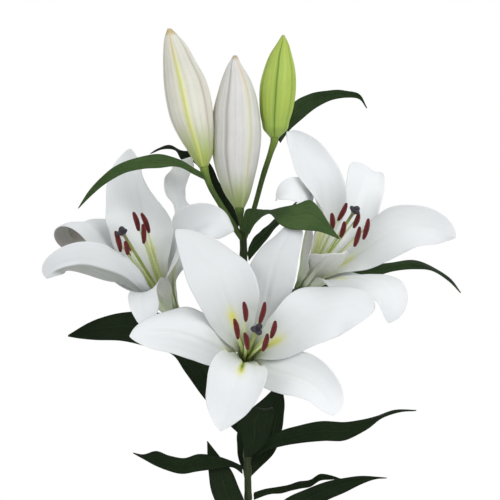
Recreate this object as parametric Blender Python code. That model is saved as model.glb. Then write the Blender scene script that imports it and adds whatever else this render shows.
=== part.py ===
"""Lilies in a vase: one stem of white lilies with three open flowers, three buds and fourteen leaves,
standing in a narrow-necked glazed vase.

Frame: origin at the centre of the vase's flat foot, +Z up, +X to the right and +Y away from the front.
Every blade, bud and stalk is placed on a front elevation: columns run right, rows run down, one unit is
0.8 mm on the plane of the stem, and the sheet is drawn from a viewing point 2 m in front of the stem.
"""

import math

import bmesh
import bpy
import numpy as np

# ---------------------------------------------------------------- driving dimensions (metres)
VASE_H = 0.250  # rim above the foot
VASE_FOOT_R = 0.044
VASE_BODY_R = 0.061
VASE_NECK_R = 0.0185
VASE_LIP_R = 0.0215
VASE_WALL = 0.004
VASE_FLOOR = 0.008

UNIT = 0.0008  # one row or column of the front elevation
VIEW = 2.0  # distance of its viewing point
MID = 250.0
ELEV_Z = VASE_H + 0.248  # height of row 250
PLANT_X, PLANT_Y = -0.008, -0.007  # the stem leans on the vase's lip on this side

STEM_R = 0.0029
PETAL_T = 0.0008  # thickness of a tepal
LEAF_T = 0.0008
GAP = 0.0003  # clearance between touching pieces

CLAW = 0.15  # a tepal's width at its base over its full width
R_INNER, H_INNER = 0.0045, 0.0012
R_OUTER, H_OUTER = 0.0064, 0.0010
SHARE = 0.98  # half width over radius that a tepal may take in the tube, so that a whorl's three fit side by side
RECEPTACLE_R = 0.0072


# ---------------------------------------------------------------- geometry helpers
def front(u, v, depth):
    """A point of the front elevation: column u, row v (UNIT each, on the stem's plane), depth in mm behind that plane."""
    k = (VIEW + depth * 0.001) / VIEW
    return np.array([PLANT_X + (u - MID) * UNIT * k, PLANT_Y + depth * 0.001, ELEV_Z + (MID - v) * UNIT * k])


def unit(v):
    return v / np.maximum(np.linalg.norm(v, axis=-1, keepdims=True), 1e-12)


def curve(xk, yk, x):
    """A smooth curve through the knots (cubic, with mean slopes)."""
    xk = np.asarray(xk, float)
    yk = np.asarray(yk, float)
    flat = yk.ndim == 1
    if flat:
        yk = yk[:, None]
    h = np.diff(xk)[:, None]
    sec = np.diff(yk, axis=0) / h
    m = np.empty_like(yk)
    m[0], m[-1] = sec[0], sec[-1]
    m[1:-1] = (sec[:-1] * h[1:] + sec[1:] * h[:-1]) / (h[1:] + h[:-1])
    x = np.asarray(x, float)
    i = np.clip(np.searchsorted(xk, x, side="right") - 1, 0, len(xk) - 2)
    t = ((x - xk[i]) / h[i, 0])[:, None]
    H = h[i]
    y = ((2 * t**3 - 3 * t**2 + 1) * yk[i] + (t**3 - 2 * t**2 + t) * H * m[i]
         + (-2 * t**3 + 3 * t**2) * yk[i + 1] + (t**3 - t**2) * H * m[i + 1])
    return y[:, 0] if flat else y


def through(points, n):
    """n points along a smooth path through the given points, evenly by length."""
    p = np.asarray(points, float)
    c = np.concatenate([[0], np.cumsum(np.linalg.norm(np.diff(p[:, :3], axis=0), axis=1))])
    fine = curve(c, p, np.linspace(0, c[-1], 200))
    d = np.concatenate([[0], np.cumsum(np.linalg.norm(np.diff(fine[:, :3], axis=0), axis=1))])
    want = np.linspace(0, d[-1], n)
    return np.stack([np.interp(want, d, fine[:, k]) for k in range(p.shape[1])], 1)


# ---------------------------------------------------------------- flowers
class Flower:
    """The frame of one flower: its receptacle's top, its axis, and two directions across it."""

    def __init__(self, where, axis, phase):
        self.o = front(*where)
        self.a = unit(np.array(axis, float))
        x = np.array([1.0, 0, 0])
        self.e1 = unit(x - (x @ self.a) * self.a)
        self.e2 = np.cross(self.a, self.e1)
        self.phase = phase

    def spoke(self, phi):
        return math.cos(phi) * self.e1 + math.sin(phi) * self.e2


def tepal_width(s, widest):
    t = np.clip(s / widest[0], 0, 1)
    up = CLAW + (1 - CLAW) * np.sin(np.pi / 2 * t) ** 1.5
    q = np.clip((s - widest[0]) / (1 - widest[0]), 0, 1)
    return np.maximum(np.where(s < widest[0], up, np.maximum(1 - q**2.1, 0) ** widest[1]), 0.02)


def tepal(flower, p, s, x):
    """Points of a tepal's middle surface on the grid s (base to tip) by x (-1 to 1, side to side)."""
    inner = p["whorl"] == "inner"
    r0, h0 = (R_INNER, H_INNER) if inner else (R_OUTER, H_OUTER)
    phi0 = p["place"] * 60.0 + flower.phase
    th = np.radians(curve([0, 0.2, 0.45, 0.7, 1], [8, *p["open"]], s))
    ph = np.radians(phi0 + curve([0, 0.22, 0.5, 1], [0, 0, *p["sway"]], s))
    ta = np.radians(curve([0, 0.25, 0.5, 1], [0, 0, *p["twist"]], s))
    rho = np.cos(ph)[:, None] * flower.e1 + np.sin(ph)[:, None] * flower.e2
    d = np.cos(th)[:, None] * flower.a + np.sin(th)[:, None] * rho
    ds = np.diff(s)[:, None] * p["size"][0] * 0.001
    pos = np.concatenate([[np.zeros(3)], np.cumsum((d[1:] + d[:-1]) / 2 * ds, 0)])
    pos = pos + r0 * flower.spoke(math.radians(phi0))
    rad = np.linalg.norm(pos - (pos @ flower.a)[:, None] * flower.a, axis=1)
    pos = pos + flower.o + flower.a * h0
    w = p["size"][1] * 0.001 * tepal_width(s, p["widest"])
    w = w * rad * SHARE / (w**6 + (rad * SHARE) ** 6) ** (1 / 6)
    k = np.clip((s - 0.22) / 0.2, 0, 1)
    k = k * k * (3 - 2 * k)
    tube = np.minimum(np.degrees(w / rad), 62)
    g = np.radians(tube * (1 - k) + curve([0, 0.25, 0.5, 0.8, 1], [0, 0, *p["cup"]], s) * k)
    n = np.sin(th)[:, None] * flower.a - np.cos(th)[:, None] * rho
    across = np.cross(d, n)
    a2 = np.cos(ta)[:, None] * across + np.sin(ta)[:, None] * n
    n2 = np.cos(ta)[:, None] * n - np.sin(ta)[:, None] * across
    g = np.where(np.abs(g) < 1e-3, 1e-3, g)[:, None]
    lift = (1 - np.cos(x * g)) / g * (1 + k[:, None] * p["lean"] * x)
    return pos[:, None] + w[:, None, None] * ((np.sin(x * g) / g)[..., None] * a2[:, None] + lift[..., None] * n2[:, None])


def leaf(stations, s, x, crown):
    """A blade between its two edges: each station gives both edges on the front elevation, the depth, and the depth from edge to edge."""
    a = np.array([front(q[0], q[1], q[4] - q[5] / 2) for q in stations])
    b = np.array([front(q[2], q[3], q[4] + q[5] / 2) for q in stations])
    mid = (a + b) / 2
    c = np.concatenate([[0], np.cumsum(np.linalg.norm(np.diff(mid, axis=0), axis=1))])
    c /= c[-1]
    A, B = curve(c, a, s), curve(c, b, s)
    mid = (A + B) / 2
    half = (B - A) / 2
    t = unit(np.gradient(mid, axis=0))
    n = unit(np.cross(t, half))
    n = np.where(n[:, 1:2] > 0, -n, n)
    for i in range(1, len(n)):
        if n[i] @ n[i - 1] < 0:
            n[i] = -n[i]
    w = np.linalg.norm(half, axis=1)
    return (mid[:, None] + half[:, None] * x[None, :, None]
            - n[:, None] * (crown * w[:, None] * (1 - np.abs(x[None]) ** 1.3))[..., None])


def grid_normals(P):
    du = np.gradient(P, axis=0)
    dv = np.gradient(P, axis=1)
    return unit(np.cross(du, dv))


def dense(P, k=2):
    """The same facets with k points along each edge."""
    n, m = P.shape[:2]
    a = np.linspace(0, n - 1, (n - 1) * k + 1)
    b = np.linspace(0, m - 1, (m - 1) * k + 1)
    i = np.minimum(a.astype(int), n - 2)
    j = np.minimum(b.astype(int), m - 2)
    fa, fb = (a - i)[:, None, None], (b - j)[None, :, None]
    q = lambda x, y: P[np.ix_(x, y)]
    return ((1 - fa) * (1 - fb) * q(i, j) + fa * (1 - fb) * q(i + 1, j) + (1 - fa) * fb * q(i, j + 1) + fa * fb * q(i + 1, j + 1))


def spread(D, rounds=2):
    for _ in range(rounds):
        E = D.copy()
        E[1:-1] = (D[:-2] + 2 * D[1:-1] + D[2:]) / 4
        E[0] = (D[0] * 2 + D[1]) / 3
        E[-1] = (D[-1] * 2 + D[-2]) / 3
        D = E.copy()
        E[:, 1:-1] = (D[:, :-2] + 2 * D[:, 1:-1] + D[:, 2:]) / 4
        E[:, 0] = (D[:, 0] * 2 + D[:, 1]) / 3
        E[:, -1] = (D[:, -1] * 2 + D[:, -2]) / 3
        D = E
    return D


def part_ways(grids, side, gap, rounds):
    """Moves sheets that pass through or touch each other apart, until gap lies between their middle surfaces.

    side(a, b) says how a lies on b: +1 on the side of b's normal, -1 on the other, 0 in front of it.
    """
    names = list(grids)
    G = {k: grids[k].copy() for k in names}
    for rnd in range(rounds):
        move = {k: np.zeros_like(G[k]) for k in names}
        hit = {k: np.zeros(G[k].shape[:2]) for k in names}
        fine = {k: dense(G[k]) for k in names}
        nrm = {k: grid_normals(fine[k]) for k in names}
        lo = {k: fine[k].reshape(-1, 3).min(0) - gap for k in names}
        hi = {k: fine[k].reshape(-1, 3).max(0) + gap for k in names}
        worst = 0.0
        for i, a in enumerate(names):
            for b in names[i + 1:]:
                if (lo[a] > hi[b]).any() or (lo[b] > hi[a]).any():
                    continue
                r = side(a, b)
                if r is None:
                    continue
                PA, PB = fine[a].reshape(-1, 3), fine[b].reshape(-1, 3)
                NB = nrm[b].reshape(-1, 3)
                box = ((PA > lo[b]) & (PA < hi[b])).all(1).nonzero()[0]
                if not len(box):
                    continue
                q = PA[box]
                d2 = ((q[:, None] - PB[None]) ** 2).sum(-1)
                j = d2.argmin(1)
                n = NB[j]
                if r in (0, 2):
                    n = np.where(n[:, 1:2] > 0, -n, n) * (1 if r == 0 else -1)
                else:
                    n = n * r
                off = q - PB[j]
                sd = (off * n).sum(1)
                lat = np.linalg.norm(off - sd[:, None] * n, axis=1)
                bad = (sd < gap) & (lat < 0.0042) & (sd > -0.009)
                if r in (0, 2) and a.split("_")[0] == b.split("_")[0] and not a.startswith("leaf"):
                    # two of one whorl stay side by side in the tube
                    bad &= (box // fine[a].shape[1] >= 6) & (j // fine[b].shape[1] >= 6)
                if not bad.any():
                    continue
                push = np.minimum(gap - sd[bad], 0.0025)
                worst = max(worst, push.max())
                na, ma = fine[a].shape[:2]
                nb, mb = fine[b].shape[:2]
                for idx, jj, pu, nn in zip(box[bad], j[bad], push, n[bad]):
                    for key, k, m2, sg in ((a, idx, ma, 0.5), (b, jj, mb, -0.5)):
                        y, x = divmod(int(k), m2)
                        y, x = int(round(y / 2)), int(round(x / 2))
                        if hit[key][y, x] < pu:
                            hit[key][y, x] = pu
                            move[key][y, x] = sg * nn * pu
        if worst < 0.00012:
            break
        for k in names:
            if hit[k].any():
                step = spread(move[k], 1) * 1.35
                G[k] = G[k] + step
    return G, worst


# ---------------------------------------------------------------- the plant's design
# receptacle's top (column, row, depth), axis, turn of the first tepal about it
FLOWERS = {
    "front": Flower((245, 358, -25), (0.10, -0.96, 0.24), 7),
    "left": Flower((172, 314, 20), (-0.36, -0.60, 0.71), 35),
    "right": Flower((303, 288, 20), (0.44, -0.62, 0.65), 5),
}

# Tepals by flower and place round the axis: length and half width in mm; opening angle from the axis at
# 20, 45, 70 and 100 % of the length; side sway at 50 and 100 %; twist at 50 and 100 %; cross-section cup
# at 50, 80 and 100 %; lean of the cup; where it is widest, and how blunt the tip is.
TEPALS = {
    "front_1": {"whorl": "inner", "place": 0, "size": (140, 24), "open": (15, 55, 95, 100), "sway": (30, -25), "twist": (0, 30), "cup": (35, -40, -5), "lean": -0.2, "widest": (0.7, 0.65)},
    "front_2": {"whorl": "outer", "place": 1, "size": (132, 19), "open": (22, 60, 65, 115), "sway": (15, -10), "twist": (5, 40), "cup": (20, -40, -5), "lean": -0.4, "widest": (0.66, 0.55)},
    "front_3": {"whorl": "inner", "place": 2, "size": (140, 26), "open": (25, 50, 90, 95), "sway": (-15, 20), "twist": (-5, -35), "cup": (35, -15, -10), "lean": 0.6, "widest": (0.6, 0.7)},
    "front_4": {"whorl": "outer", "place": 3, "size": (123, 20), "open": (22, 55, 100, 105), "sway": (-25, 10), "twist": (30, -15), "cup": (-25, -50, -10), "lean": 0.7, "widest": (0.64, 0.7)},
    "front_5": {"whorl": "inner", "place": 4, "size": (118, 28), "open": (14, 20, 95, 95), "sway": (0, 10), "twist": (-5, -5), "cup": (40, 55, 20), "lean": 0.2, "widest": (0.52, 0.8)},
    "front_6": {"whorl": "outer", "place": 5, "size": (123, 20), "open": (20, 50, 60, 65), "sway": (30, -30), "twist": (5, 5), "cup": (25, 45, -5), "lean": -0.2, "widest": (0.62, 0.65)},
    "left_1": {"whorl": "outer", "place": 0, "size": (138, 17), "open": (27, 55, 30, 125), "sway": (30, 25), "twist": (-50, -10), "cup": (45, 80, -80), "lean": -0.3, "widest": (0.5, 0.5)},
    "left_2": {"whorl": "inner", "place": 1, "size": (139, 31), "open": (25, 45, 20, 25), "sway": (-20, -43), "twist": (-20, 20), "cup": (35, 70, 5), "lean": -0.3, "widest": (0.5, 0.6)},
    "left_3": {"whorl": "outer", "place": 2, "size": (140, 22), "open": (27, 30, 55, 210), "sway": (-5, -30), "twist": (0, -5), "cup": (60, -25, 20), "lean": 0.4, "widest": (0.68, 0.7)},
    "left_4": {"whorl": "inner", "place": 3, "size": (136, 29), "open": (15, 35, 30, 140), "sway": (0, -35), "twist": (-50, -85), "cup": (80, 55, 15), "lean": 0.3, "widest": (0.5, 0.75)},
    "left_5": {"whorl": "outer", "place": 4, "size": (98, 20), "open": (17, 30, 85, 112), "sway": (-24, -8), "twist": (-15, 10), "cup": (40, 20, -10), "lean": 0, "widest": (0.62, 0.7)},
    "left_6": {"whorl": "inner", "place": 5, "size": (130, 18), "open": (16, 40, 60, 150), "sway": (30, 10), "twist": (10, -30), "cup": (-5, 80, -70), "lean": -0.5, "widest": (0.68, 0.55)},
    "right_1": {"whorl": "inner", "place": 0, "size": (140, 20), "open": (27, 25, 60, 90), "sway": (20, -25), "twist": (0, -70), "cup": (-30, 40, -15), "lean": 0, "widest": (0.6, 0.65)},
    "right_2": {"whorl": "outer", "place": 1, "size": (138, 17), "open": (25, 35, 80, 125), "sway": (20, -20), "twist": (-20, 10), "cup": (75, 25, 30), "lean": 0.9, "widest": (0.7, 0.7)},
    "right_3": {"whorl": "inner", "place": 2, "size": (140, 24), "open": (14, 30, 60, 80), "sway": (20, 5), "twist": (5, 15), "cup": (80, 40, 90), "lean": 0.1, "widest": (0.6, 0.55)},
    "right_4": {"whorl": "outer", "place": 3, "size": (124, 21), "open": (19, 20, 45, 195), "sway": (-10, -30), "twist": (-15, 20), "cup": (25, 40, 40), "lean": 0.1, "widest": (0.56, 0.7)},
    "right_5": {"whorl": "inner", "place": 4, "size": (104, 20), "open": (20, 32, 46, 66), "sway": (0, 10), "twist": (0, 0), "cup": (25, 15, 0), "lean": 0, "widest": (0.56, 0.7)},
    "right_6": {"whorl": "outer", "place": 5, "size": (117, 22), "open": (27, 45, 65, 155), "sway": (10, -25), "twist": (-5, 10), "cup": (-20, 30, 15), "lean": -0.1, "widest": (0.54, 0.65)},
}

# Anthers: both ends on the front elevation, and the reach of the stamen from the receptacle in mm.
STAMENS = {
    "front": [(243.7, 301.7, 245.8, 321.7, 92), (265, 302, 259.2, 324.2, 92), (234.2, 318.7, 238, 339.2, 88),
              (275.3, 320.8, 270.8, 338.3, 88), (244.5, 332.5, 247.5, 350, 90), (267.5, 333.7, 262.5, 351.3, 88)],
    "left": [(133.3, 212, 138.7, 231, 88), (141.3, 213, 149.3, 233, 86), (142.7, 224, 143.7, 243.7, 82),
             (115.3, 231, 120.7, 252, 88), (125, 241, 127.6, 255, 84.5), (127, 243, 129, 257, 70)],
    "right": [(331.6, 213, 332.3, 229.6, 80), (346.7, 203, 337.8, 220.7, 86), (344.4, 221.4, 340.5, 237.8, 82),
              (358.8, 213, 353.6, 228, 80), (368.4, 218.6, 363.2, 239.5, 90), (359.7, 226.6, 354.2, 246.7, 90)],
}
PISTILS = {"front": (257.5, 328.8, 96), "left": (121, 230, 98), "right": (356.3, 208.5, 92)}

# Leaves, base to tip: column and row of one edge, of the other edge, the depth in mm, the depth from edge to edge.
LEAVES = {
    "leaf_01": [(203, 173, 206, 180.5, -14, 0), (195, 168.5, 194, 174.5, -17, -5), (180, 159.5, 180, 167.2, -22, -7), (158, 154, 160, 168, -28, -4), (140, 157, 142, 169, -33, 0), (122, 162.5, 125, 173, -36, 3), (104, 175, 106, 183.5, -38, 3), (88, 192, 91, 196, -40, 2), (78, 208, 78.6, 208.6, -41, 0)],
    "leaf_02": [(240, 221, 238, 227, 6, 0), (230, 200, 224, 208, 15, 3), (218.6, 181, 209, 188, 23, 3), (210, 163, 202, 172, 28, 3), (197, 152, 193, 162, 31, 3), (181, 150.5, 182, 159.5, 32, 4), (170, 145.5, 176, 151, 33, 6), (158.6, 148, 162, 149.8, 34, 4), (150, 153.4, 150.6, 154, 35, 0)],
    "leaf_03": [(280.4, 137, 280.4, 143, 7, 0), (284.5, 123, 289, 131, 17, 3), (293, 103.5, 301, 120, 20, 3), (308, 94.5, 316, 108, 25, 3), (326, 91, 331, 100.5, 28, 6), (344, 90.3, 346, 97.8, 30, 6), (358, 93, 358.5, 98.8, 31, 4), (367.3, 107.8, 366.6, 108.6, 31, 0)],
    "leaf_05": [(242.2, 232, 249.5, 234, -6, 0), (243, 220, 254, 225.5, -10, 0), (246, 210, 260, 219, -18, 3), (258, 209.3, 264.5, 215.5, -30, 7), (269.5, 210.5, 270.5, 214.5, -42, 11), (282, 207, 281, 223.5, -55, 8), (297, 204, 293, 230.3, -67, 2), (311, 200.5, 307, 230.8, -76, 0), (321, 211, 318, 231.5, -81, 0), (331, 226, 329, 235, -85, 0), (340, 238.6, 339.4, 239.4, -88, 0)],
    "leaf_06": [(248.8, 247, 248.8, 261, 4, 0), (253.5, 238, 255, 253.5, 8, 0), (262, 230, 264, 243, 14, 3), (272, 221.5, 275, 229, 20, 7), (282, 214, 285, 219, 26, 7), (290, 207, 293, 209, 31, 4), (297.3, 200.6, 297.9, 201.2, 34, 0)],
    "leaf_07": [(252.4, 310, 252.4, 320, 5, 0), (266, 300, 267, 312, 27, 0), (290, 290, 293, 302, 47, 0), (330, 276, 333, 288, 55, 0), (362, 266.5, 368, 279, 57, 3), (390, 262.5, 393, 271.5, 58, 8), (415, 260.5, 415, 269.5, 58, 8), (434, 268, 432.5, 271.3, 57, 10), (451, 279, 449, 281.5, 56, 6), (461, 292.5, 460.4, 293.3, 55, 0)],
    "leaf_08": [(243, 428, 242, 437, 5, 0), (232, 400, 221, 417, 12, 0), (222, 375, 203, 397, 22, 0), (212, 348, 185, 372, 32, 0), (190, 322, 172, 354.5, 42, 0), (160, 313, 150, 347.5, 50, 0), (134, 311.5, 122, 341, 56, 0), (108, 315.5, 95, 340, 60, 0), (88, 323, 78, 338.3, 62, 0), (68, 335, 68, 336.6, 63, 0)],
    "leaf_10": [(244.6, 474, 250.4, 477, 4.8, 0), (239.5, 462, 258, 469.5, 7, 0), (237, 446, 274, 453, 11, 0), (238, 430, 281.5, 432, 17, 0), (250, 410, 284, 414, 25, 0), (264, 398, 284.5, 401, 32, 0), (273, 389, 283, 391, 38, 0), (280.5, 380, 281.4, 380.6, 44, 0)],
    "leaf_11": [(244.6, 457, 251.4, 457, -4.8, 0), (243, 445, 262, 447, -7, 0), (240, 434, 269, 437, -10, 0), (237, 425, 272, 423, -13, 0), (245, 413, 274, 412, -14.5, 0), (254, 408, 273, 408, -10, 0), (262, 409.5, 273, 409, -3, 0), (269.5, 414, 270.5, 414.4, 4, 0)],
    "leaf_12": [(253, 451, 253, 458, -2, 0), (261, 443.5, 265, 451.5, -4, 0), (278, 432, 281, 446.5, -6, 0), (300, 425.2, 302, 443, -9, 0), (322, 421, 324, 441, -11, 0), (345, 422, 346, 440, -13, 0), (361, 420, 366, 430, -14, 4), (377, 416, 380, 419.5, -15, 7), (394, 409.7, 396, 413, -16, 5), (416.5, 410, 416.3, 411, -17, 0)],
    "leaf_13": [(242.6, 466, 242.6, 474, -3, 0), (232, 461, 234, 468, -6, 2), (214, 455.5, 214, 469.5, -10, 2), (198, 454, 197, 471.5, -13, 0), (184, 458, 182, 474, -15, 0), (169, 455.5, 167, 470.5, -17, 0), (156, 451, 155, 465.5, -18, 0), (144, 454.4, 144, 459.6, -19, 2), (133, 452.6, 133, 453.4, -20, 0)],
    "leaf_14": [(243.5, 549, 249, 552, -5, 0), (233, 527, 246, 530, -7, 0), (218, 507, 245.5, 504, -8, 0), (211, 490, 239, 488, -8, 0), (208.5, 472, 231, 470, -6, 0), (207.5, 456, 219, 455.5, -3, 0), (207, 441, 207.9, 441.2, -1, 0)],
    "leaf_15": [(253.8, 492.5, 253.8, 500, 1, 0), (263, 489.5, 267, 495, 2, 3), (282, 486, 283, 493, 3, 3), (300, 482, 300, 488.5, 4, 5), (311, 479, 311, 486.5, 5, 3), (320, 474, 320, 480.5, 6, -2), (330, 475, 330, 479.7, 6, -2), (341, 478.6, 341, 479.4, 6, 0)],
    "leaf_16": [(253.6, 536, 253.6, 545, -1, 0), (266, 518, 280, 530, -5, 0), (284, 500, 303, 515, -9, 0), (303, 490.5, 327, 500.5, -12, 0), (329, 481, 345, 492.5, -14, 0), (350, 477, 361, 484.5, -15, 2), (370, 476.3, 375, 479.3, -15, 2), (387, 477.6, 387, 478.4, -15, 0)],
}

# Buds, tip to base: both sides on the front elevation, the depth of the axis at tip and base, and the lobes' turn.
BUDS = {
    "bud_left": ([(167.5, 28.5, 171.3, 28.5), (164.6, 37, 178, 35), (163.2, 51, 186.5, 45), (163, 66, 196, 62), (163.6, 82, 204, 76), (166, 101, 210, 94), (171, 121, 213, 114), (180, 139, 213.8, 133), (190, 154, 212.5, 151), (199.5, 168, 208.5, 165.5)], -10, -9, 20),
    "bud_centre": ([(233.3, 55.5, 237, 55.5), (228.2, 64, 241.2, 64), (223.4, 76, 248.8, 76), (218.6, 92, 255.4, 92), (214, 112, 260, 114), (213, 131, 261.8, 134), (213.4, 154, 259.6, 157), (219.6, 180, 254.4, 180), (226.6, 196.5, 249.4, 197.5), (234, 207.6, 244.6, 207.6)], -2, -3, 50),
    "bud_right": ([(282, 35, 284.4, 35), (277, 43, 288.4, 43), (270, 54, 291.6, 54), (264, 69, 295, 69), (260.2, 84, 296, 85), (259.4, 100, 294.6, 101), (261.4, 120, 290, 119), (265.6, 130, 285, 130), (270, 137.4, 279.2, 137.4)], 3, 2, 10),
}

# Stalks: (column, row, depth, radius in mm) from the stem out.
FOOT = (258, 861.8, 2, 2.9)
STALKS = {
    "main": [FOOT, (253.5, 700, 1, 2.9), (249.6, 560, 0, 2.9), (248.2, 500, 0, 2.9), (247.6, 470, 0, 2.85), (246.8, 440, 0, 2.9), (246, 420, 0, 3.0), (245.4, 380, 0, 3.0), (244.6, 320, 0, 3.0), (243.8, 262, 0, 3.0), (243.2, 240, 0, 3.0), (242.6, 231, 0, 2.9)],
    "bud_left": [(243.2, 241, 0, 2.0), (236, 229.5, -2, 2.4), (221.5, 206, -6, 2.3), (211, 188, -8, 2.3), (206.6, 177, -9, 2.7), (204.4, 170.2, -9, 3.4)],
    "bud_centre": [(243.4, 238, 0, 2.2), (242, 226, -1, 2.3), (240.4, 217, -2, 2.5), (239.6, 210.6, -3, 3.6)],
    "bud_right": [(243.6, 240, 0, 2.2), (247.5, 230, 0, 2.2), (254, 209, 1, 2.1), (264, 173, 2, 2.2), (271.5, 150, 2, 2.5), (274.4, 140.4, 2, 3.2)],
    "left": [(245.6, 392, 0, 2.2), (228, 374, 12, 2.5), (204, 354, 28, 2.5)],
    "right": [(245.2, 372, 0, 2.2), (264, 352, 14, 2.5), (280, 328, 30, 2.5)],
    "front": [(246.2, 436, 0, 2.2), (246.6, 412, -5, 2.4), (246.2, 388, -9, 2.4)],
}


# ---------------------------------------------------------------- solids as rings and grids
S_GRID = np.array([0, 0.09, 0.2, 0.32, 0.45, 0.58, 0.7, 0.81, 0.9, 0.965, 1.0])
X_GRID = np.array([-1, -0.5, 0, 0.5, 1.0])
LEAF_S = 12
LEAF_X = np.array([-1, 0, 1.0])
SHEET_GAP = 0.0020

# Which sheet lies in front where two cross, front to back.
ORDER = ["leaf_05", "leaf_01", "front_5", "front_3", "front_1", "front_4", "front_6", "front_2", "leaf_11", "left_4", "left_2",
         "left_6", "left_5", "left_3", "left_1", "right_5", "right_1", "right_3", "right_6", "right_2", "right_4", "leaf_12",
         "leaf_13", "leaf_16", "leaf_14", "leaf_15", "leaf_10", "leaf_08", "leaf_07", "leaf_06", "leaf_02", "leaf_03"]


def lies(a, b):
    fa, fb = a.rsplit("_", 1)[0], b.rsplit("_", 1)[0]
    if fa in FLOWERS and fa == fb and TEPALS[a]["whorl"] != TEPALS[b]["whorl"]:
        return -1 if TEPALS[a]["whorl"] == "inner" else 1
    return 0 if ORDER.index(a) < ORDER.index(b) else 2


def sheets():
    """The middle surfaces of all tepals and leaves, moved apart where they would touch."""
    raw = {k: tepal(FLOWERS[k.rsplit("_", 1)[0]], p, S_GRID, X_GRID) for k, p in TEPALS.items()}
    raw.update({k: leaf(q, np.linspace(0, 1, LEAF_S), LEAF_X, 0.16) for k, q in LEAVES.items()})
    return raw, part_ways(raw, lies, SHEET_GAP, 60)


def ring_frames(path):
    t = unit(np.gradient(path, axis=0))
    n = np.zeros_like(t)
    ref = np.array([0.0, 1.0, 0.0])
    for i in range(len(t)):
        v = ref - (ref @ t[i]) * t[i]
        n[i] = unit(v)
        ref = n[i]
    return t, n, np.cross(t, n)


def tube_rings(path, radii, sides):
    t, n, b = ring_frames(path)
    a = np.arange(sides) * 2 * np.pi / sides
    return path[:, None] + radii[:, None, None] * (np.cos(a)[None, :, None] * n[:, None] + np.sin(a)[None, :, None] * b[:, None])


def stalk_rings(key, sides):
    pts = np.array([np.append(front(*q[:3]), q[3] * 0.001) for q in STALKS[key]])
    if key in FLOWERS:
        f = FLOWERS[key]
        ends = [np.append(f.o - f.a * d, r) for d, r in ((0.022, 0.0026), (0.012, 0.0034), (0.005, 0.0058), (0.0, RECEPTACLE_R))]
        pts = np.concatenate([pts, ends])
    n = {"main": 16}.get(key, 9)
    p = through(pts, n)
    if key in FLOWERS:
        p[-1] = pts[-1]
        p[-2] = pts[-2]
    return tube_rings(p[:, :3], p[:, 3], sides)


def bud_rings(key, sides, n):
    rails, d0, d1, turn = BUDS[key]
    k = len(rails)
    a = np.array([front(q[0], q[1], d0 + (d1 - d0) * i / (k - 1)) for i, q in enumerate(rails)])
    b = np.array([front(q[2], q[3], d0 + (d1 - d0) * i / (k - 1)) for i, q in enumerate(rails)])
    mid = (a + b) / 2
    c = np.concatenate([[0], np.cumsum(np.linalg.norm(np.diff(mid, axis=0), axis=1))])
    c /= c[-1]
    s = np.linspace(0, 1, n)
    A, B = curve(c, a, s), curve(c, b, s)
    mid, half = (A + B) / 2, (B - A) / 2
    t = unit(np.gradient(mid, axis=0))
    back = unit(np.cross(half, t))
    back = np.where(back[:, 1:2] < 0, -back, back)
    r = np.linalg.norm(half, axis=1)
    al = np.arange(sides) * 2 * np.pi / sides
    return mid, t, half, back, r, al


def bud_solid(key, sides=14, n=15):
    mid, t, half, back, r, al = bud_rings(key, sides, n)
    return mid[:, None] + np.cos(al)[None, :, None] * half[:, None] + np.sin(al)[None, :, None] * back[:, None] * r[:, None, None]


def capped(rings):
    """Vertices and faces of a closed body from rings of points, outward normals."""
    n, m = rings.shape[:2]
    v = rings.reshape(-1, 3)
    f = []
    for i in range(n - 1):
        for j in range(m):
            k = (j + 1) % m
            f.append((i * m + j, i * m + k, (i + 1) * m + k, (i + 1) * m + j))
    f.append(tuple(range(m))[::-1])
    f.append(tuple((n - 1) * m + j for j in range(m)))
    tri = v[np.array([[q[0], q[1], q[2]] for q in f])]
    vol = 0.0
    for q in f:
        for i in range(1, len(q) - 1):
            vol += np.linalg.det(v[[q[0], q[i], q[i + 1]]])
    if vol < 0:
        f = [q[::-1] for q in f]
    return v, f


def reach(flower, u, v, dist):
    """The point at this distance from the receptacle, nearer the viewer, on the line of sight of (u, v)."""
    eye = np.array([PLANT_X, PLANT_Y - VIEW, ELEV_Z])
    d = unit(front(u, v, 0.0) - eye)
    q = eye - flower.o
    b = q @ d
    disc = b * b - (q @ q - dist * dist)
    return eye + d * (-b - math.sqrt(max(disc, 0.0)))


def stamen_path(name, i, n):
    """Filament's path and the anther's two ends."""
    f = FLOWERS[name]
    u1, v1, u2, v2, far = STAMENS[name][i]
    mid = reach(f, (u1 + u2) / 2, (v1 + v2) / 2, far * 0.001)
    depth = (mid[1] - PLANT_Y) * 1000
    p1, p2 = front(u1, v1, depth - 1.5), front(u2, v2, depth + 1.5)
    mid = (p1 + p2) / 2
    rest = mid - f.o
    side = unit(rest - (rest @ f.a) * f.a)
    place = ANGLES[name][i]
    start = f.o + f.a * 0.0008 + 0.0030 * f.spoke(place)
    ax = unit(p1 - p2)
    toward = unit(mid - start)
    off = unit(toward - (toward @ ax) * ax)
    end = mid - off * 0.0012
    t = np.linspace(0, 1, n)[:, None]
    c1 = start + f.a * 0.030
    c2 = end - unit(toward + f.a * 0.15) * 0.03
    path = (1 - t) ** 3 * start + 3 * t * (1 - t) ** 2 * c1 + 3 * t * t * (1 - t) * c2 + t**3 * end
    return path, p1, p2, off


def spread_places():
    """Gives each filament of a flower its own place round the pistil, in the order of the anthers' directions."""
    out = {}
    for name, f in FLOWERS.items():
        way = []
        for u1, v1, u2, v2, far in STAMENS[name]:
            r = reach(f, (u1 + u2) / 2, (v1 + v2) / 2, far * 0.001) - f.o
            way.append(math.atan2(r @ f.e2, r @ f.e1))
        order = np.argsort(way)
        base = way[order[0]]
        best = min(np.linspace(0, 2 * math.pi, 72, endpoint=False),
                   key=lambda q: sum(1 - math.cos(q + k * math.pi / 3 - way[order[k]]) for k in range(6)))
        out[name] = [0.0] * 6
        for k in range(6):
            out[name][order[k]] = best + k * math.pi / 3
    return out


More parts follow.
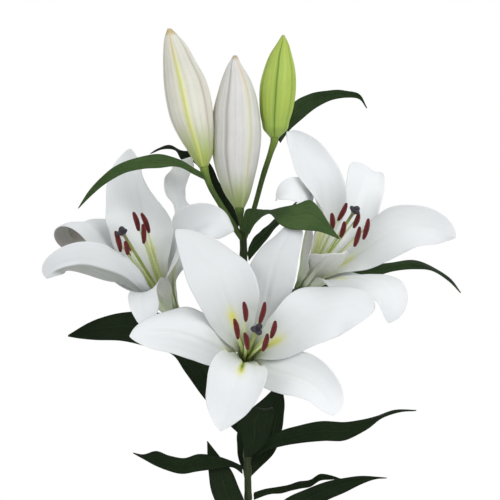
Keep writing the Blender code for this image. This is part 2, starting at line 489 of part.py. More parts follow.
ANGLES = spread_places()


def anther_rings(p1, p2, sides, n):
    t = np.linspace(0, 1, n)
    bow = unit(np.cross(p2 - p1, np.array([0.0, 1.0, 0.0]))) * 0.0006
    path = p1 + (p2 - p1) * t[:, None] + bow * np.sin(np.pi * t)[:, None]
    r = 0.0023 * np.maximum(np.sin(np.pi * (0.07 + 0.86 * t)) ** 0.5, 0.2)
    return tube_rings(path, r, sides)


def swells(knots, values, x):
    """Values that pass from knot to knot without overshooting."""
    knots, values = np.asarray(knots, float), np.asarray(values, float)
    i = np.clip(np.searchsorted(knots, x, side="right") - 1, 0, len(knots) - 2)
    u = np.clip((x - knots[i]) / (knots[i + 1] - knots[i]), 0, 1)
    return values[i] + (values[i + 1] - values[i]) * u * u * (3 - 2 * u)


def pistil_path(name, n):
    f = FLOWERS[name]
    u, v, far = PISTILS[name]
    tip = reach(f, u, v, far * 0.001)
    start = f.o + f.a * 0.0008
    t = np.linspace(0, 1, n)[:, None]
    c1 = start + f.a * 0.035
    c2 = tip - unit(tip - start + f.a * 0.02) * 0.02
    path = (1 - t) ** 3 * start + 3 * t * (1 - t) ** 2 * c1 + 3 * t * t * (1 - t) * c2 + t**3 * tip
    r = swells([0, 0.1, 0.24, 0.34, 0.6, 0.90, 0.965, 1], [0.0012, 0.0019, 0.0019, 0.0012, 0.0012, 0.0013, 0.0036, 0.0030], t[:, 0])
    return path, r


def vase_profile():
    """Outer side from foot to lip, then the inside down to the floor: (radius, height)."""
    H, w = VASE_H, VASE_WALL
    zk = np.array([0.002, 0.02, 0.045, 0.08, 0.115, 0.145, 0.170, 0.195, 0.220, 0.238, H - 0.002]) * (H - 0.002) / 0.248
    rk = np.array([VASE_FOOT_R, VASE_FOOT_R + 0.0065, VASE_BODY_R - 0.0035, VASE_BODY_R, VASE_BODY_R - 0.008, 0.040, 0.027,
                   VASE_NECK_R + 0.0012, VASE_NECK_R, VASE_NECK_R + 0.001, VASE_LIP_R])
    outer = [(VASE_FOOT_R - 0.002, 0.0)] + list(zip(rk, zk)) + [(VASE_LIP_R - 0.0012, H)]
    zi = zk[::-1]
    ri = (rk - w)[::-1]
    inner = [(VASE_LIP_R - 0.0028, H)] + [(r, z) for r, z in zip(ri, zi) if z > VASE_FLOOR + 0.006]
    inner += [(VASE_FOOT_R - 0.0035, VASE_FLOOR + 0.002), (VASE_FOOT_R - 0.007, VASE_FLOOR)]
    return outer, inner


# ---------------------------------------------------------------- Blender objects
for old in list(bpy.data.objects):
    bpy.data.objects.remove(old, do_unlink=True)

PETAL = (0.86, 0.88, 0.86)
LEAF_GREEN = (0.045, 0.11, 0.03)
STALK_GREEN = (0.10, 0.20, 0.05)
BUD_WHITE = (0.75, 0.78, 0.62)
BUD_GREEN = (0.42, 0.55, 0.16)
ANTHER = (0.16, 0.02, 0.015)
STYLE = (0.30, 0.36, 0.14)
GLAZE = (0.80, 0.79, 0.75)


def material(name, colour, rough):
    m = bpy.data.materials.new(name + "_finish")
    m.use_nodes = True
    b = m.node_tree.nodes["Principled BSDF"]
    b.inputs["Base Color"].default_value = (*colour, 1.0)
    b.inputs["Roughness"].default_value = rough
    b.inputs["Metallic"].default_value = 0.0
    m.diffuse_color = (*colour, 1.0)
    return m


def make(name, verts, faces, colour, rough, helper=False):
    """An object from points and faces, facing outward, shaded smooth."""
    mesh = bpy.data.meshes.new(name)
    mesh.from_pydata([tuple(map(float, v)) for v in verts], [], [tuple(map(int, f)) for f in faces])
    mesh.update()
    ob = bpy.data.objects.new(name, mesh)
    bpy.context.scene.collection.objects.link(ob)
    mesh.materials.append(material(name, colour, rough))
    mesh.shade_smooth()
    if helper:
        ob.hide_render = True
        ob.display_type = "WIRE"
    return ob


def sheet(name, P, thickness, colour, rough):
    """A tepal or leaf: a grid of quads, thickened evenly to both sides."""
    bm = bmesh.new()
    rows = [[bm.verts.new(tuple(map(float, p))) for p in row] for row in P]
    for i in range(len(rows) - 1):
        for j in range(len(rows[0]) - 1):
            bm.faces.new((rows[i][j], rows[i][j + 1], rows[i + 1][j + 1], rows[i + 1][j]))
    mesh = bpy.data.meshes.new(name)
    bm.to_mesh(mesh)
    bm.free()
    ob = bpy.data.objects.new(name, mesh)
    bpy.context.scene.collection.objects.link(ob)
    mesh.materials.append(material(name, colour, rough))
    mesh.shade_smooth()
    mod = ob.modifiers.new("thickness", "SOLIDIFY")
    mod.thickness = thickness
    mod.offset = 0.0
    mod.use_even_offset = False
    mod.use_rim = True
    return ob


def join(ob, helpers):
    for h in helpers:
        m = ob.modifiers.new("join_" + h.name, "BOOLEAN")
        m.operation = "UNION"
        m.solver = "EXACT"
        m.object = h


# the vase: one turned wall, from the foot up the outside and down the inside to the floor
outer, inner = vase_profile()
SIDES = 36
turn = np.arange(SIDES) * 2 * np.pi / SIDES
profile = np.array(outer + inner)
rings = np.stack([profile[:, :1] * np.cos(turn), profile[:, :1] * np.sin(turn), np.repeat(profile[:, 1:], SIDES, 1)], -1)
make("vase", *capped(rings), GLAZE, 0.18)

# the stem with its stalks
main = make("stem", *capped(stalk_rings("main", 10)), STALK_GREEN, 0.5)
join(main, [make("stalk_" + k, *capped(stalk_rings(k, 10)), STALK_GREEN, 0.5, helper=True) for k in STALKS if k != "main"])

# buds
for k in BUDS:
    make(k, *capped(bud_solid(k)), BUD_GREEN if k == "bud_right" else BUD_WHITE, 0.45)

# tepals and leaves
_, (grids, _) = sheets()
for k, P in grids.items():
    if k in TEPALS:
        sheet(k, P, PETAL_T, PETAL, 0.5)
    else:
        sheet(k, P, LEAF_T, LEAF_GREEN, 0.4)

# stamens and pistils
for name in FLOWERS:
    for i in range(6):
        path, p1, p2, off = stamen_path(name, i, 8)
        fil = make(f"{name}_stamen_{i + 1}", *capped(tube_rings(path, np.full(8, 0.0006), 6)), ANTHER, 0.8)
        join(fil, [make(f"{name}_anther_{i + 1}", *capped(anther_rings(p1, p2, 8, 7)), ANTHER, 0.8, helper=True)])
    path, r = pistil_path(name, 12)
    make(f"{name}_pistil", *capped(tube_rings(path, r, 8)), STYLE, 0.5)
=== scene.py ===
"""Looks of the lilies in a vase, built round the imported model: each tepal, leaf, bud, stamen, pistil, stalk and
the vase is a finely meshed piece that stands for its CAD node, with procedural materials.

The flowers' design is the same as the part's, so every surface passes through the points of its CAD node.
"""
import math

import bpy
import numpy as np
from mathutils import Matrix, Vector


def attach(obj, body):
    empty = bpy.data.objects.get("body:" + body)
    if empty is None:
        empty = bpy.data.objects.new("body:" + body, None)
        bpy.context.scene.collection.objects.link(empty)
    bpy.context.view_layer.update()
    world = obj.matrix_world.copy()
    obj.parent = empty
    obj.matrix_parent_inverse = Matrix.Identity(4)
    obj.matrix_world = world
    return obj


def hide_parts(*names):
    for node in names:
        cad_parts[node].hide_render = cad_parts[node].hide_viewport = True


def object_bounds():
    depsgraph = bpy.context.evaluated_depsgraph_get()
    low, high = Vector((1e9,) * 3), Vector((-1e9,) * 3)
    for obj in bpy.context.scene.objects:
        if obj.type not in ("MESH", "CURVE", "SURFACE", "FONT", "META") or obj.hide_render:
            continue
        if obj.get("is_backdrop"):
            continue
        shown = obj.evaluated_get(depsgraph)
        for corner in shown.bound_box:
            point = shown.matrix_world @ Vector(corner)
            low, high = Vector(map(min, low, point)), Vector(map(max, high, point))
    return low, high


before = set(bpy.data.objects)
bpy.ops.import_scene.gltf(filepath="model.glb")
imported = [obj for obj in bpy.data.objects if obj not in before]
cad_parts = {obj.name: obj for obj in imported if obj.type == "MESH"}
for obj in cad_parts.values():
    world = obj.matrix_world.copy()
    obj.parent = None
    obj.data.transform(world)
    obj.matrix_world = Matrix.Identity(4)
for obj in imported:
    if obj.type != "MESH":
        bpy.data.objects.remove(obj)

CAD_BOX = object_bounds()

# ---------------------------------------------------------------- driving dimensions (metres)
VASE_H = 0.250  # rim above the foot
VASE_FOOT_R = 0.044
VASE_BODY_R = 0.061
VASE_NECK_R = 0.0185
VASE_LIP_R = 0.0215
VASE_WALL = 0.004
VASE_FLOOR = 0.008

UNIT = 0.0008  # one row or column of the front elevation
VIEW = 2.0  # distance of its viewing point
MID = 250.0
ELEV_Z = VASE_H + 0.248  # height of row 250
PLANT_X, PLANT_Y = -0.008, -0.007  # the stem leans on the vase's lip on this side

STEM_R = 0.0029
PETAL_T = 0.0008  # thickness of a tepal
LEAF_T = 0.0008
GAP = 0.0003  # clearance between touching pieces

CLAW = 0.15  # a tepal's width at its base over its full width
R_INNER, H_INNER = 0.0045, 0.0012
R_OUTER, H_OUTER = 0.0064, 0.0010
SHARE = 0.98  # half width over radius that a tepal may take in the tube, so that a whorl's three fit side by side
RECEPTACLE_R = 0.0072


# ---------------------------------------------------------------- geometry helpers
def front(u, v, depth):
    """A point of the front elevation: column u, row v (UNIT each, on the stem's plane), depth in mm behind that plane."""
    k = (VIEW + depth * 0.001) / VIEW
    return np.array([PLANT_X + (u - MID) * UNIT * k, PLANT_Y + depth * 0.001, ELEV_Z + (MID - v) * UNIT * k])


def unit(v):
    return v / np.maximum(np.linalg.norm(v, axis=-1, keepdims=True), 1e-12)


def curve(xk, yk, x):
    """A smooth curve through the knots (cubic, with mean slopes)."""
    xk = np.asarray(xk, float)
    yk = np.asarray(yk, float)
    flat = yk.ndim == 1
    if flat:
        yk = yk[:, None]
    h = np.diff(xk)[:, None]
    sec = np.diff(yk, axis=0) / h
    m = np.empty_like(yk)
    m[0], m[-1] = sec[0], sec[-1]
    m[1:-1] = (sec[:-1] * h[1:] + sec[1:] * h[:-1]) / (h[1:] + h[:-1])
    x = np.asarray(x, float)
    i = np.clip(np.searchsorted(xk, x, side="right") - 1, 0, len(xk) - 2)
    t = ((x - xk[i]) / h[i, 0])[:, None]
    H = h[i]
    y = ((2 * t**3 - 3 * t**2 + 1) * yk[i] + (t**3 - 2 * t**2 + t) * H * m[i]
         + (-2 * t**3 + 3 * t**2) * yk[i + 1] + (t**3 - t**2) * H * m[i + 1])
    return y[:, 0] if flat else y


def through(points, n):
    """n points along a smooth path through the given points, evenly by length."""
    p = np.asarray(points, float)
    c = np.concatenate([[0], np.cumsum(np.linalg.norm(np.diff(p[:, :3], axis=0), axis=1))])
    fine = curve(c, p, np.linspace(0, c[-1], 200))
    d = np.concatenate([[0], np.cumsum(np.linalg.norm(np.diff(fine[:, :3], axis=0), axis=1))])
    want = np.linspace(0, d[-1], n)
    return np.stack([np.interp(want, d, fine[:, k]) for k in range(p.shape[1])], 1)


# ---------------------------------------------------------------- flowers
class Flower:
    """The frame of one flower: its receptacle's top, its axis, and two directions across it."""

    def __init__(self, where, axis, phase):
        self.o = front(*where)
        self.a = unit(np.array(axis, float))
        x = np.array([1.0, 0, 0])
        self.e1 = unit(x - (x @ self.a) * self.a)
        self.e2 = np.cross(self.a, self.e1)
        self.phase = phase

    def spoke(self, phi):
        return math.cos(phi) * self.e1 + math.sin(phi) * self.e2


def tepal_width(s, widest):
    t = np.clip(s / widest[0], 0, 1)
    up = CLAW + (1 - CLAW) * np.sin(np.pi / 2 * t) ** 1.5
    q = np.clip((s - widest[0]) / (1 - widest[0]), 0, 1)
    return np.maximum(np.where(s < widest[0], up, np.maximum(1 - q**2.1, 0) ** widest[1]), 0.02)


def tepal(flower, p, s, x):
    """Points of a tepal's middle surface on the grid s (base to tip) by x (-1 to 1, side to side)."""
    inner = p["whorl"] == "inner"
    r0, h0 = (R_INNER, H_INNER) if inner else (R_OUTER, H_OUTER)
    phi0 = p["place"] * 60.0 + flower.phase
    th = np.radians(curve([0, 0.2, 0.45, 0.7, 1], [8, *p["open"]], s))
    ph = np.radians(phi0 + curve([0, 0.22, 0.5, 1], [0, 0, *p["sway"]], s))
    ta = np.radians(curve([0, 0.25, 0.5, 1], [0, 0, *p["twist"]], s))
    rho = np.cos(ph)[:, None] * flower.e1 + np.sin(ph)[:, None] * flower.e2
    d = np.cos(th)[:, None] * flower.a + np.sin(th)[:, None] * rho
    ds = np.diff(s)[:, None] * p["size"][0] * 0.001
    pos = np.concatenate([[np.zeros(3)], np.cumsum((d[1:] + d[:-1]) / 2 * ds, 0)])
    pos = pos + r0 * flower.spoke(math.radians(phi0))
    rad = np.linalg.norm(pos - (pos @ flower.a)[:, None] * flower.a, axis=1)
    pos = pos + flower.o + flower.a * h0
    w = p["size"][1] * 0.001 * tepal_width(s, p["widest"])
    w = w * rad * SHARE / (w**6 + (rad * SHARE) ** 6) ** (1 / 6)
    k = np.clip((s - 0.22) / 0.2, 0, 1)
    k = k * k * (3 - 2 * k)
    tube = np.minimum(np.degrees(w / rad), 62)
    g = np.radians(tube * (1 - k) + curve([0, 0.25, 0.5, 0.8, 1], [0, 0, *p["cup"]], s) * k)
    n = np.sin(th)[:, None] * flower.a - np.cos(th)[:, None] * rho
    across = np.cross(d, n)
    a2 = np.cos(ta)[:, None] * across + np.sin(ta)[:, None] * n
    n2 = np.cos(ta)[:, None] * n - np.sin(ta)[:, None] * across
    g = np.where(np.abs(g) < 1e-3, 1e-3, g)[:, None]
    lift = (1 - np.cos(x * g)) / g * (1 + k[:, None] * p["lean"] * x)
    return pos[:, None] + w[:, None, None] * ((np.sin(x * g) / g)[..., None] * a2[:, None] + lift[..., None] * n2[:, None])


def leaf(stations, s, x, crown):
    """A blade between its two edges: each station gives both edges on the front elevation, the depth, and the depth from edge to edge."""
    a = np.array([front(q[0], q[1], q[4] - q[5] / 2) for q in stations])
    b = np.array([front(q[2], q[3], q[4] + q[5] / 2) for q in stations])
    mid = (a + b) / 2
    c = np.concatenate([[0], np.cumsum(np.linalg.norm(np.diff(mid, axis=0), axis=1))])
    c /= c[-1]
    A, B = curve(c, a, s), curve(c, b, s)
    mid = (A + B) / 2
    half = (B - A) / 2
    t = unit(np.gradient(mid, axis=0))
    n = unit(np.cross(t, half))
    n = np.where(n[:, 1:2] > 0, -n, n)
    for i in range(1, len(n)):
        if n[i] @ n[i - 1] < 0:
            n[i] = -n[i]
    w = np.linalg.norm(half, axis=1)
    return (mid[:, None] + half[:, None] * x[None, :, None]
            - n[:, None] * (crown * w[:, None] * (1 - np.abs(x[None]) ** 1.3))[..., None])


def grid_normals(P):
    du = np.gradient(P, axis=0)
    dv = np.gradient(P, axis=1)
    return unit(np.cross(du, dv))


def dense(P, k=2):
    """The same facets with k points along each edge."""
    n, m = P.shape[:2]
    a = np.linspace(0, n - 1, (n - 1) * k + 1)
    b = np.linspace(0, m - 1, (m - 1) * k + 1)
    i = np.minimum(a.astype(int), n - 2)
    j = np.minimum(b.astype(int), m - 2)
    fa, fb = (a - i)[:, None, None], (b - j)[None, :, None]
    q = lambda x, y: P[np.ix_(x, y)]
    return ((1 - fa) * (1 - fb) * q(i, j) + fa * (1 - fb) * q(i + 1, j) + (1 - fa) * fb * q(i, j + 1) + fa * fb * q(i + 1, j + 1))


def spread(D, rounds=2):
    for _ in range(rounds):
        E = D.copy()
        E[1:-1] = (D[:-2] + 2 * D[1:-1] + D[2:]) / 4
        E[0] = (D[0] * 2 + D[1]) / 3
        E[-1] = (D[-1] * 2 + D[-2]) / 3
        D = E.copy()
        E[:, 1:-1] = (D[:, :-2] + 2 * D[:, 1:-1] + D[:, 2:]) / 4
        E[:, 0] = (D[:, 0] * 2 + D[:, 1]) / 3
        E[:, -1] = (D[:, -1] * 2 + D[:, -2]) / 3
        D = E
    return D


def part_ways(grids, side, gap, rounds):
    """Moves sheets that pass through or touch each other apart, until gap lies between their middle surfaces.

    side(a, b) says how a lies on b: +1 on the side of b's normal, -1 on the other, 0 in front of it.
    """
    names = list(grids)
    G = {k: grids[k].copy() for k in names}
    for rnd in range(rounds):
        move = {k: np.zeros_like(G[k]) for k in names}
        hit = {k: np.zeros(G[k].shape[:2]) for k in names}
        fine = {k: dense(G[k]) for k in names}
        nrm = {k: grid_normals(fine[k]) for k in names}
        lo = {k: fine[k].reshape(-1, 3).min(0) - gap for k in names}
        hi = {k: fine[k].reshape(-1, 3).max(0) + gap for k in names}
        worst = 0.0
        for i, a in enumerate(names):
            for b in names[i + 1:]:
                if (lo[a] > hi[b]).any() or (lo[b] > hi[a]).any():
                    continue
                r = side(a, b)
                if r is None:
                    continue
                PA, PB = fine[a].reshape(-1, 3), fine[b].reshape(-1, 3)
                NB = nrm[b].reshape(-1, 3)
                box = ((PA > lo[b]) & (PA < hi[b])).all(1).nonzero()[0]
                if not len(box):
                    continue
                q = PA[box]
                d2 = ((q[:, None] - PB[None]) ** 2).sum(-1)
                j = d2.argmin(1)
                n = NB[j]
                if r in (0, 2):
                    n = np.where(n[:, 1:2] > 0, -n, n) * (1 if r == 0 else -1)
                else:
                    n = n * r
                off = q - PB[j]
                sd = (off * n).sum(1)
                lat = np.linalg.norm(off - sd[:, None] * n, axis=1)
                bad = (sd < gap) & (lat < 0.0042) & (sd > -0.009)
                if r in (0, 2) and a.split("_")[0] == b.split("_")[0] and not a.startswith("leaf"):
                    # two of one whorl stay side by side in the tube
                    bad &= (box // fine[a].shape[1] >= 6) & (j // fine[b].shape[1] >= 6)
                if not bad.any():
                    continue
                push = np.minimum(gap - sd[bad], 0.0025)
                worst = max(worst, push.max())
                na, ma = fine[a].shape[:2]
                nb, mb = fine[b].shape[:2]
                for idx, jj, pu, nn in zip(box[bad], j[bad], push, n[bad]):
                    for key, k, m2, sg in ((a, idx, ma, 0.5), (b, jj, mb, -0.5)):
                        y, x = divmod(int(k), m2)
                        y, x = int(round(y / 2)), int(round(x / 2))
                        if hit[key][y, x] < pu:
                            hit[key][y, x] = pu
                            move[key][y, x] = sg * nn * pu
        if worst < 0.00012:
            break
        for k in names:
            if hit[k].any():
                step = spread(move[k], 1) * 1.35
                G[k] = G[k] + step
    return G, worst


# ---------------------------------------------------------------- the plant's design
# receptacle's top (column, row, depth), axis, turn of the first tepal about it
FLOWERS = {
    "front": Flower((245, 358, -25), (0.10, -0.96, 0.24), 7),
    "left": Flower((172, 314, 20), (-0.36, -0.60, 0.71), 35),
    "right": Flower((303, 288, 20), (0.44, -0.62, 0.65), 5),
}

# Tepals by flower and place round the axis: length and half width in mm; opening angle from the axis at
# 20, 45, 70 and 100 % of the length; side sway at 50 and 100 %; twist at 50 and 100 %; cross-section cup
# at 50, 80 and 100 %; lean of the cup; where it is widest, and how blunt the tip is.
TEPALS = {
    "front_1": {"whorl": "inner", "place": 0, "size": (140, 24), "open": (15, 55, 95, 100), "sway": (30, -25), "twist": (0, 30), "cup": (35, -40, -5), "lean": -0.2, "widest": (0.7, 0.65)},
    "front_2": {"whorl": "outer", "place": 1, "size": (132, 19), "open": (22, 60, 65, 115), "sway": (15, -10), "twist": (5, 40), "cup": (20, -40, -5), "lean": -0.4, "widest": (0.66, 0.55)},
    "front_3": {"whorl": "inner", "place": 2, "size": (140, 26), "open": (25, 50, 90, 95), "sway": (-15, 20), "twist": (-5, -35), "cup": (35, -15, -10), "lean": 0.6, "widest": (0.6, 0.7)},
    "front_4": {"whorl": "outer", "place": 3, "size": (123, 20), "open": (22, 55, 100, 105), "sway": (-25, 10), "twist": (30, -15), "cup": (-25, -50, -10), "lean": 0.7, "widest": (0.64, 0.7)},
    "front_5": {"whorl": "inner", "place": 4, "size": (118, 28), "open": (14, 20, 95, 95), "sway": (0, 10), "twist": (-5, -5), "cup": (40, 55, 20), "lean": 0.2, "widest": (0.52, 0.8)},
    "front_6": {"whorl": "outer", "place": 5, "size": (123, 20), "open": (20, 50, 60, 65), "sway": (30, -30), "twist": (5, 5), "cup": (25, 45, -5), "lean": -0.2, "widest": (0.62, 0.65)},
    "left_1": {"whorl": "outer", "place": 0, "size": (138, 17), "open": (27, 55, 30, 125), "sway": (30, 25), "twist": (-50, -10), "cup": (45, 80, -80), "lean": -0.3, "widest": (0.5, 0.5)},
    "left_2": {"whorl": "inner", "place": 1, "size": (139, 31), "open": (25, 45, 20, 25), "sway": (-20, -43), "twist": (-20, 20), "cup": (35, 70, 5), "lean": -0.3, "widest": (0.5, 0.6)},
    "left_3": {"whorl": "outer", "place": 2, "size": (140, 22), "open": (27, 30, 55, 210), "sway": (-5, -30), "twist": (0, -5), "cup": (60, -25, 20), "lean": 0.4, "widest": (0.68, 0.7)},
    "left_4": {"whorl": "inner", "place": 3, "size": (136, 29), "open": (15, 35, 30, 140), "sway": (0, -35), "twist": (-50, -85), "cup": (80, 55, 15), "lean": 0.3, "widest": (0.5, 0.75)},
    "left_5": {"whorl": "outer", "place": 4, "size": (98, 20), "open": (17, 30, 85, 112), "sway": (-24, -8), "twist": (-15, 10), "cup": (40, 20, -10), "lean": 0, "widest": (0.62, 0.7)},
    "left_6": {"whorl": "inner", "place": 5, "size": (130, 18), "open": (16, 40, 60, 150), "sway": (30, 10), "twist": (10, -30), "cup": (-5, 80, -70), "lean": -0.5, "widest": (0.68, 0.55)},
    "right_1": {"whorl": "inner", "place": 0, "size": (140, 20), "open": (27, 25, 60, 90), "sway": (20, -25), "twist": (0, -70), "cup": (-30, 40, -15), "lean": 0, "widest": (0.6, 0.65)},
    "right_2": {"whorl": "outer", "place": 1, "size": (138, 17), "open": (25, 35, 80, 125), "sway": (20, -20), "twist": (-20, 10), "cup": (75, 25, 30), "lean": 0.9, "widest": (0.7, 0.7)},
    "right_3": {"whorl": "inner", "place": 2, "size": (140, 24), "open": (14, 30, 60, 80), "sway": (20, 5), "twist": (5, 15), "cup": (80, 40, 90), "lean": 0.1, "widest": (0.6, 0.55)},
    "right_4": {"whorl": "outer", "place": 3, "size": (124, 21), "open": (19, 20, 45, 195), "sway": (-10, -30), "twist": (-15, 20), "cup": (25, 40, 40), "lean": 0.1, "widest": (0.56, 0.7)},
    "right_5": {"whorl": "inner", "place": 4, "size": (104, 20), "open": (20, 32, 46, 66), "sway": (0, 10), "twist": (0, 0), "cup": (25, 15, 0), "lean": 0, "widest": (0.56, 0.7)},
    "right_6": {"whorl": "outer", "place": 5, "size": (117, 22), "open": (27, 45, 65, 155), "sway": (10, -25), "twist": (-5, 10), "cup": (-20, 30, 15), "lean": -0.1, "widest": (0.54, 0.65)},
}

# Anthers: both ends on the front elevation, and the reach of the stamen from the receptacle in mm.
STAMENS = {
    "front": [(243.7, 301.7, 245.8, 321.7, 92), (265, 302, 259.2, 324.2, 92), (234.2, 318.7, 238, 339.2, 88),
              (275.3, 320.8, 270.8, 338.3, 88), (244.5, 332.5, 247.5, 350, 90), (267.5, 333.7, 262.5, 351.3, 88)],
    "left": [(133.3, 212, 138.7, 231, 88), (141.3, 213, 149.3, 233, 86), (142.7, 224, 143.7, 243.7, 82),
             (115.3, 231, 120.7, 252, 88), (125, 241, 127.6, 255, 84.5), (127, 243, 129, 257, 70)],
    "right": [(331.6, 213, 332.3, 229.6, 80), (346.7, 203, 337.8, 220.7, 86), (344.4, 221.4, 340.5, 237.8, 82),
              (358.8, 213, 353.6, 228, 80), (368.4, 218.6, 363.2, 239.5, 90), (359.7, 226.6, 354.2, 246.7, 90)],
}
PISTILS = {"front": (257.5, 328.8, 96), "left": (121, 230, 98), "right": (356.3, 208.5, 92)}

# Leaves, base to tip: column and row of one edge, of the other edge, the depth in mm, the depth from edge to edge.
LEAVES = {
    "leaf_01": [(203, 173, 206, 180.5, -14, 0), (195, 168.5, 194, 174.5, -17, -5), (180, 159.5, 180, 167.2, -22, -7), (158, 154, 160, 168, -28, -4), (140, 157, 142, 169, -33, 0), (122, 162.5, 125, 173, -36, 3), (104, 175, 106, 183.5, -38, 3), (88, 192, 91, 196, -40, 2), (78, 208, 78.6, 208.6, -41, 0)],
    "leaf_02": [(240, 221, 238, 227, 6, 0), (230, 200, 224, 208, 15, 3), (218.6, 181, 209, 188, 23, 3), (210, 163, 202, 172, 28, 3), (197, 152, 193, 162, 31, 3), (181, 150.5, 182, 159.5, 32, 4), (170, 145.5, 176, 151, 33, 6), (158.6, 148, 162, 149.8, 34, 4), (150, 153.4, 150.6, 154, 35, 0)],
    "leaf_03": [(280.4, 137, 280.4, 143, 7, 0), (284.5, 123, 289, 131, 17, 3), (293, 103.5, 301, 120, 20, 3), (308, 94.5, 316, 108, 25, 3), (326, 91, 331, 100.5, 28, 6), (344, 90.3, 346, 97.8, 30, 6), (358, 93, 358.5, 98.8, 31, 4), (367.3, 107.8, 366.6, 108.6, 31, 0)],
    "leaf_05": [(242.2, 232, 249.5, 234, -6, 0), (243, 220, 254, 225.5, -10, 0), (246, 210, 260, 219, -18, 3), (258, 209.3, 264.5, 215.5, -30, 7), (269.5, 210.5, 270.5, 214.5, -42, 11), (282, 207, 281, 223.5, -55, 8), (297, 204, 293, 230.3, -67, 2), (311, 200.5, 307, 230.8, -76, 0), (321, 211, 318, 231.5, -81, 0), (331, 226, 329, 235, -85, 0), (340, 238.6, 339.4, 239.4, -88, 0)],
    "leaf_06": [(248.8, 247, 248.8, 261, 4, 0), (253.5, 238, 255, 253.5, 8, 0), (262, 230, 264, 243, 14, 3), (272, 221.5, 275, 229, 20, 7), (282, 214, 285, 219, 26, 7), (290, 207, 293, 209, 31, 4), (297.3, 200.6, 297.9, 201.2, 34, 0)],
    "leaf_07": [(252.4, 310, 252.4, 320, 5, 0), (266, 300, 267, 312, 27, 0), (290, 290, 293, 302, 47, 0), (330, 276, 333, 288, 55, 0), (362, 266.5, 368, 279, 57, 3), (390, 262.5, 393, 271.5, 58, 8), (415, 260.5, 415, 269.5, 58, 8), (434, 268, 432.5, 271.3, 57, 10), (451, 279, 449, 281.5, 56, 6), (461, 292.5, 460.4, 293.3, 55, 0)],
    "leaf_08": [(243, 428, 242, 437, 5, 0), (232, 400, 221, 417, 12, 0), (222, 375, 203, 397, 22, 0), (212, 348, 185, 372, 32, 0), (190, 322, 172, 354.5, 42, 0), (160, 313, 150, 347.5, 50, 0), (134, 311.5, 122, 341, 56, 0), (108, 315.5, 95, 340, 60, 0), (88, 323, 78, 338.3, 62, 0), (68, 335, 68, 336.6, 63, 0)],
    "leaf_10": [(244.6, 474, 250.4, 477, 4.8, 0), (239.5, 462, 258, 469.5, 7, 0), (237, 446, 274, 453, 11, 0), (238, 430, 281.5, 432, 17, 0), (250, 410, 284, 414, 25, 0), (264, 398, 284.5, 401, 32, 0), (273, 389, 283, 391, 38, 0), (280.5, 380, 281.4, 380.6, 44, 0)],
    "leaf_11": [(244.6, 457, 251.4, 457, -4.8, 0), (243, 445, 262, 447, -7, 0), (240, 434, 269, 437, -10, 0), (237, 425, 272, 423, -13, 0), (245, 413, 274, 412, -14.5, 0), (254, 408, 273, 408, -10, 0), (262, 409.5, 273, 409, -3, 0), (269.5, 414, 270.5, 414.4, 4, 0)],
    "leaf_12": [(253, 451, 253, 458, -2, 0), (261, 443.5, 265, 451.5, -4, 0), (278, 432, 281, 446.5, -6, 0), (300, 425.2, 302, 443, -9, 0), (322, 421, 324, 441, -11, 0), (345, 422, 346, 440, -13, 0), (361, 420, 366, 430, -14, 4), (377, 416, 380, 419.5, -15, 7), (394, 409.7, 396, 413, -16, 5), (416.5, 410, 416.3, 411, -17, 0)],
    "leaf_13": [(242.6, 466, 242.6, 474, -3, 0), (232, 461, 234, 468, -6, 2), (214, 455.5, 214, 469.5, -10, 2), (198, 454, 197, 471.5, -13, 0), (184, 458, 182, 474, -15, 0), (169, 455.5, 167, 470.5, -17, 0), (156, 451, 155, 465.5, -18, 0), (144, 454.4, 144, 459.6, -19, 2), (133, 452.6, 133, 453.4, -20, 0)],
    "leaf_14": [(243.5, 549, 249, 552, -5, 0), (233, 527, 246, 530, -7, 0), (218, 507, 245.5, 504, -8, 0), (211, 490, 239, 488, -8, 0), (208.5, 472, 231, 470, -6, 0), (207.5, 456, 219, 455.5, -3, 0), (207, 441, 207.9, 441.2, -1, 0)],
    "leaf_15": [(253.8, 492.5, 253.8, 500, 1, 0), (263, 489.5, 267, 495, 2, 3), (282, 486, 283, 493, 3, 3), (300, 482, 300, 488.5, 4, 5), (311, 479, 311, 486.5, 5, 3), (320, 474, 320, 480.5, 6, -2), (330, 475, 330, 479.7, 6, -2), (341, 478.6, 341, 479.4, 6, 0)],
    "leaf_16": [(253.6, 536, 253.6, 545, -1, 0), (266, 518, 280, 530, -5, 0), (284, 500, 303, 515, -9, 0), (303, 490.5, 327, 500.5, -12, 0), (329, 481, 345, 492.5, -14, 0), (350, 477, 361, 484.5, -15, 2), (370, 476.3, 375, 479.3, -15, 2), (387, 477.6, 387, 478.4, -15, 0)],
}

# Buds, tip to base: both sides on the front elevation, the depth of the axis at tip and base, and the lobes' turn.
BUDS = {
    "bud_left": ([(167.5, 28.5, 171.3, 28.5), (164.6, 37, 178, 35), (163.2, 51, 186.5, 45), (163, 66, 196, 62), (163.6, 82, 204, 76), (166, 101, 210, 94), (171, 121, 213, 114), (180, 139, 213.8, 133), (190, 154, 212.5, 151), (199.5, 168, 208.5, 165.5)], -10, -9, 20),
    "bud_centre": ([(233.3, 55.5, 237, 55.5), (228.2, 64, 241.2, 64), (223.4, 76, 248.8, 76), (218.6, 92, 255.4, 92), (214, 112, 260, 114), (213, 131, 261.8, 134), (213.4, 154, 259.6, 157), (219.6, 180, 254.4, 180), (226.6, 196.5, 249.4, 197.5), (234, 207.6, 244.6, 207.6)], -2, -3, 50),
    "bud_right": ([(282, 35, 284.4, 35), (277, 43, 288.4, 43), (270, 54, 291.6, 54), (264, 69, 295, 69), (260.2, 84, 296, 85), (259.4, 100, 294.6, 101), (261.4, 120, 290, 119), (265.6, 130, 285, 130), (270, 137.4, 279.2, 137.4)], 3, 2, 10),
}

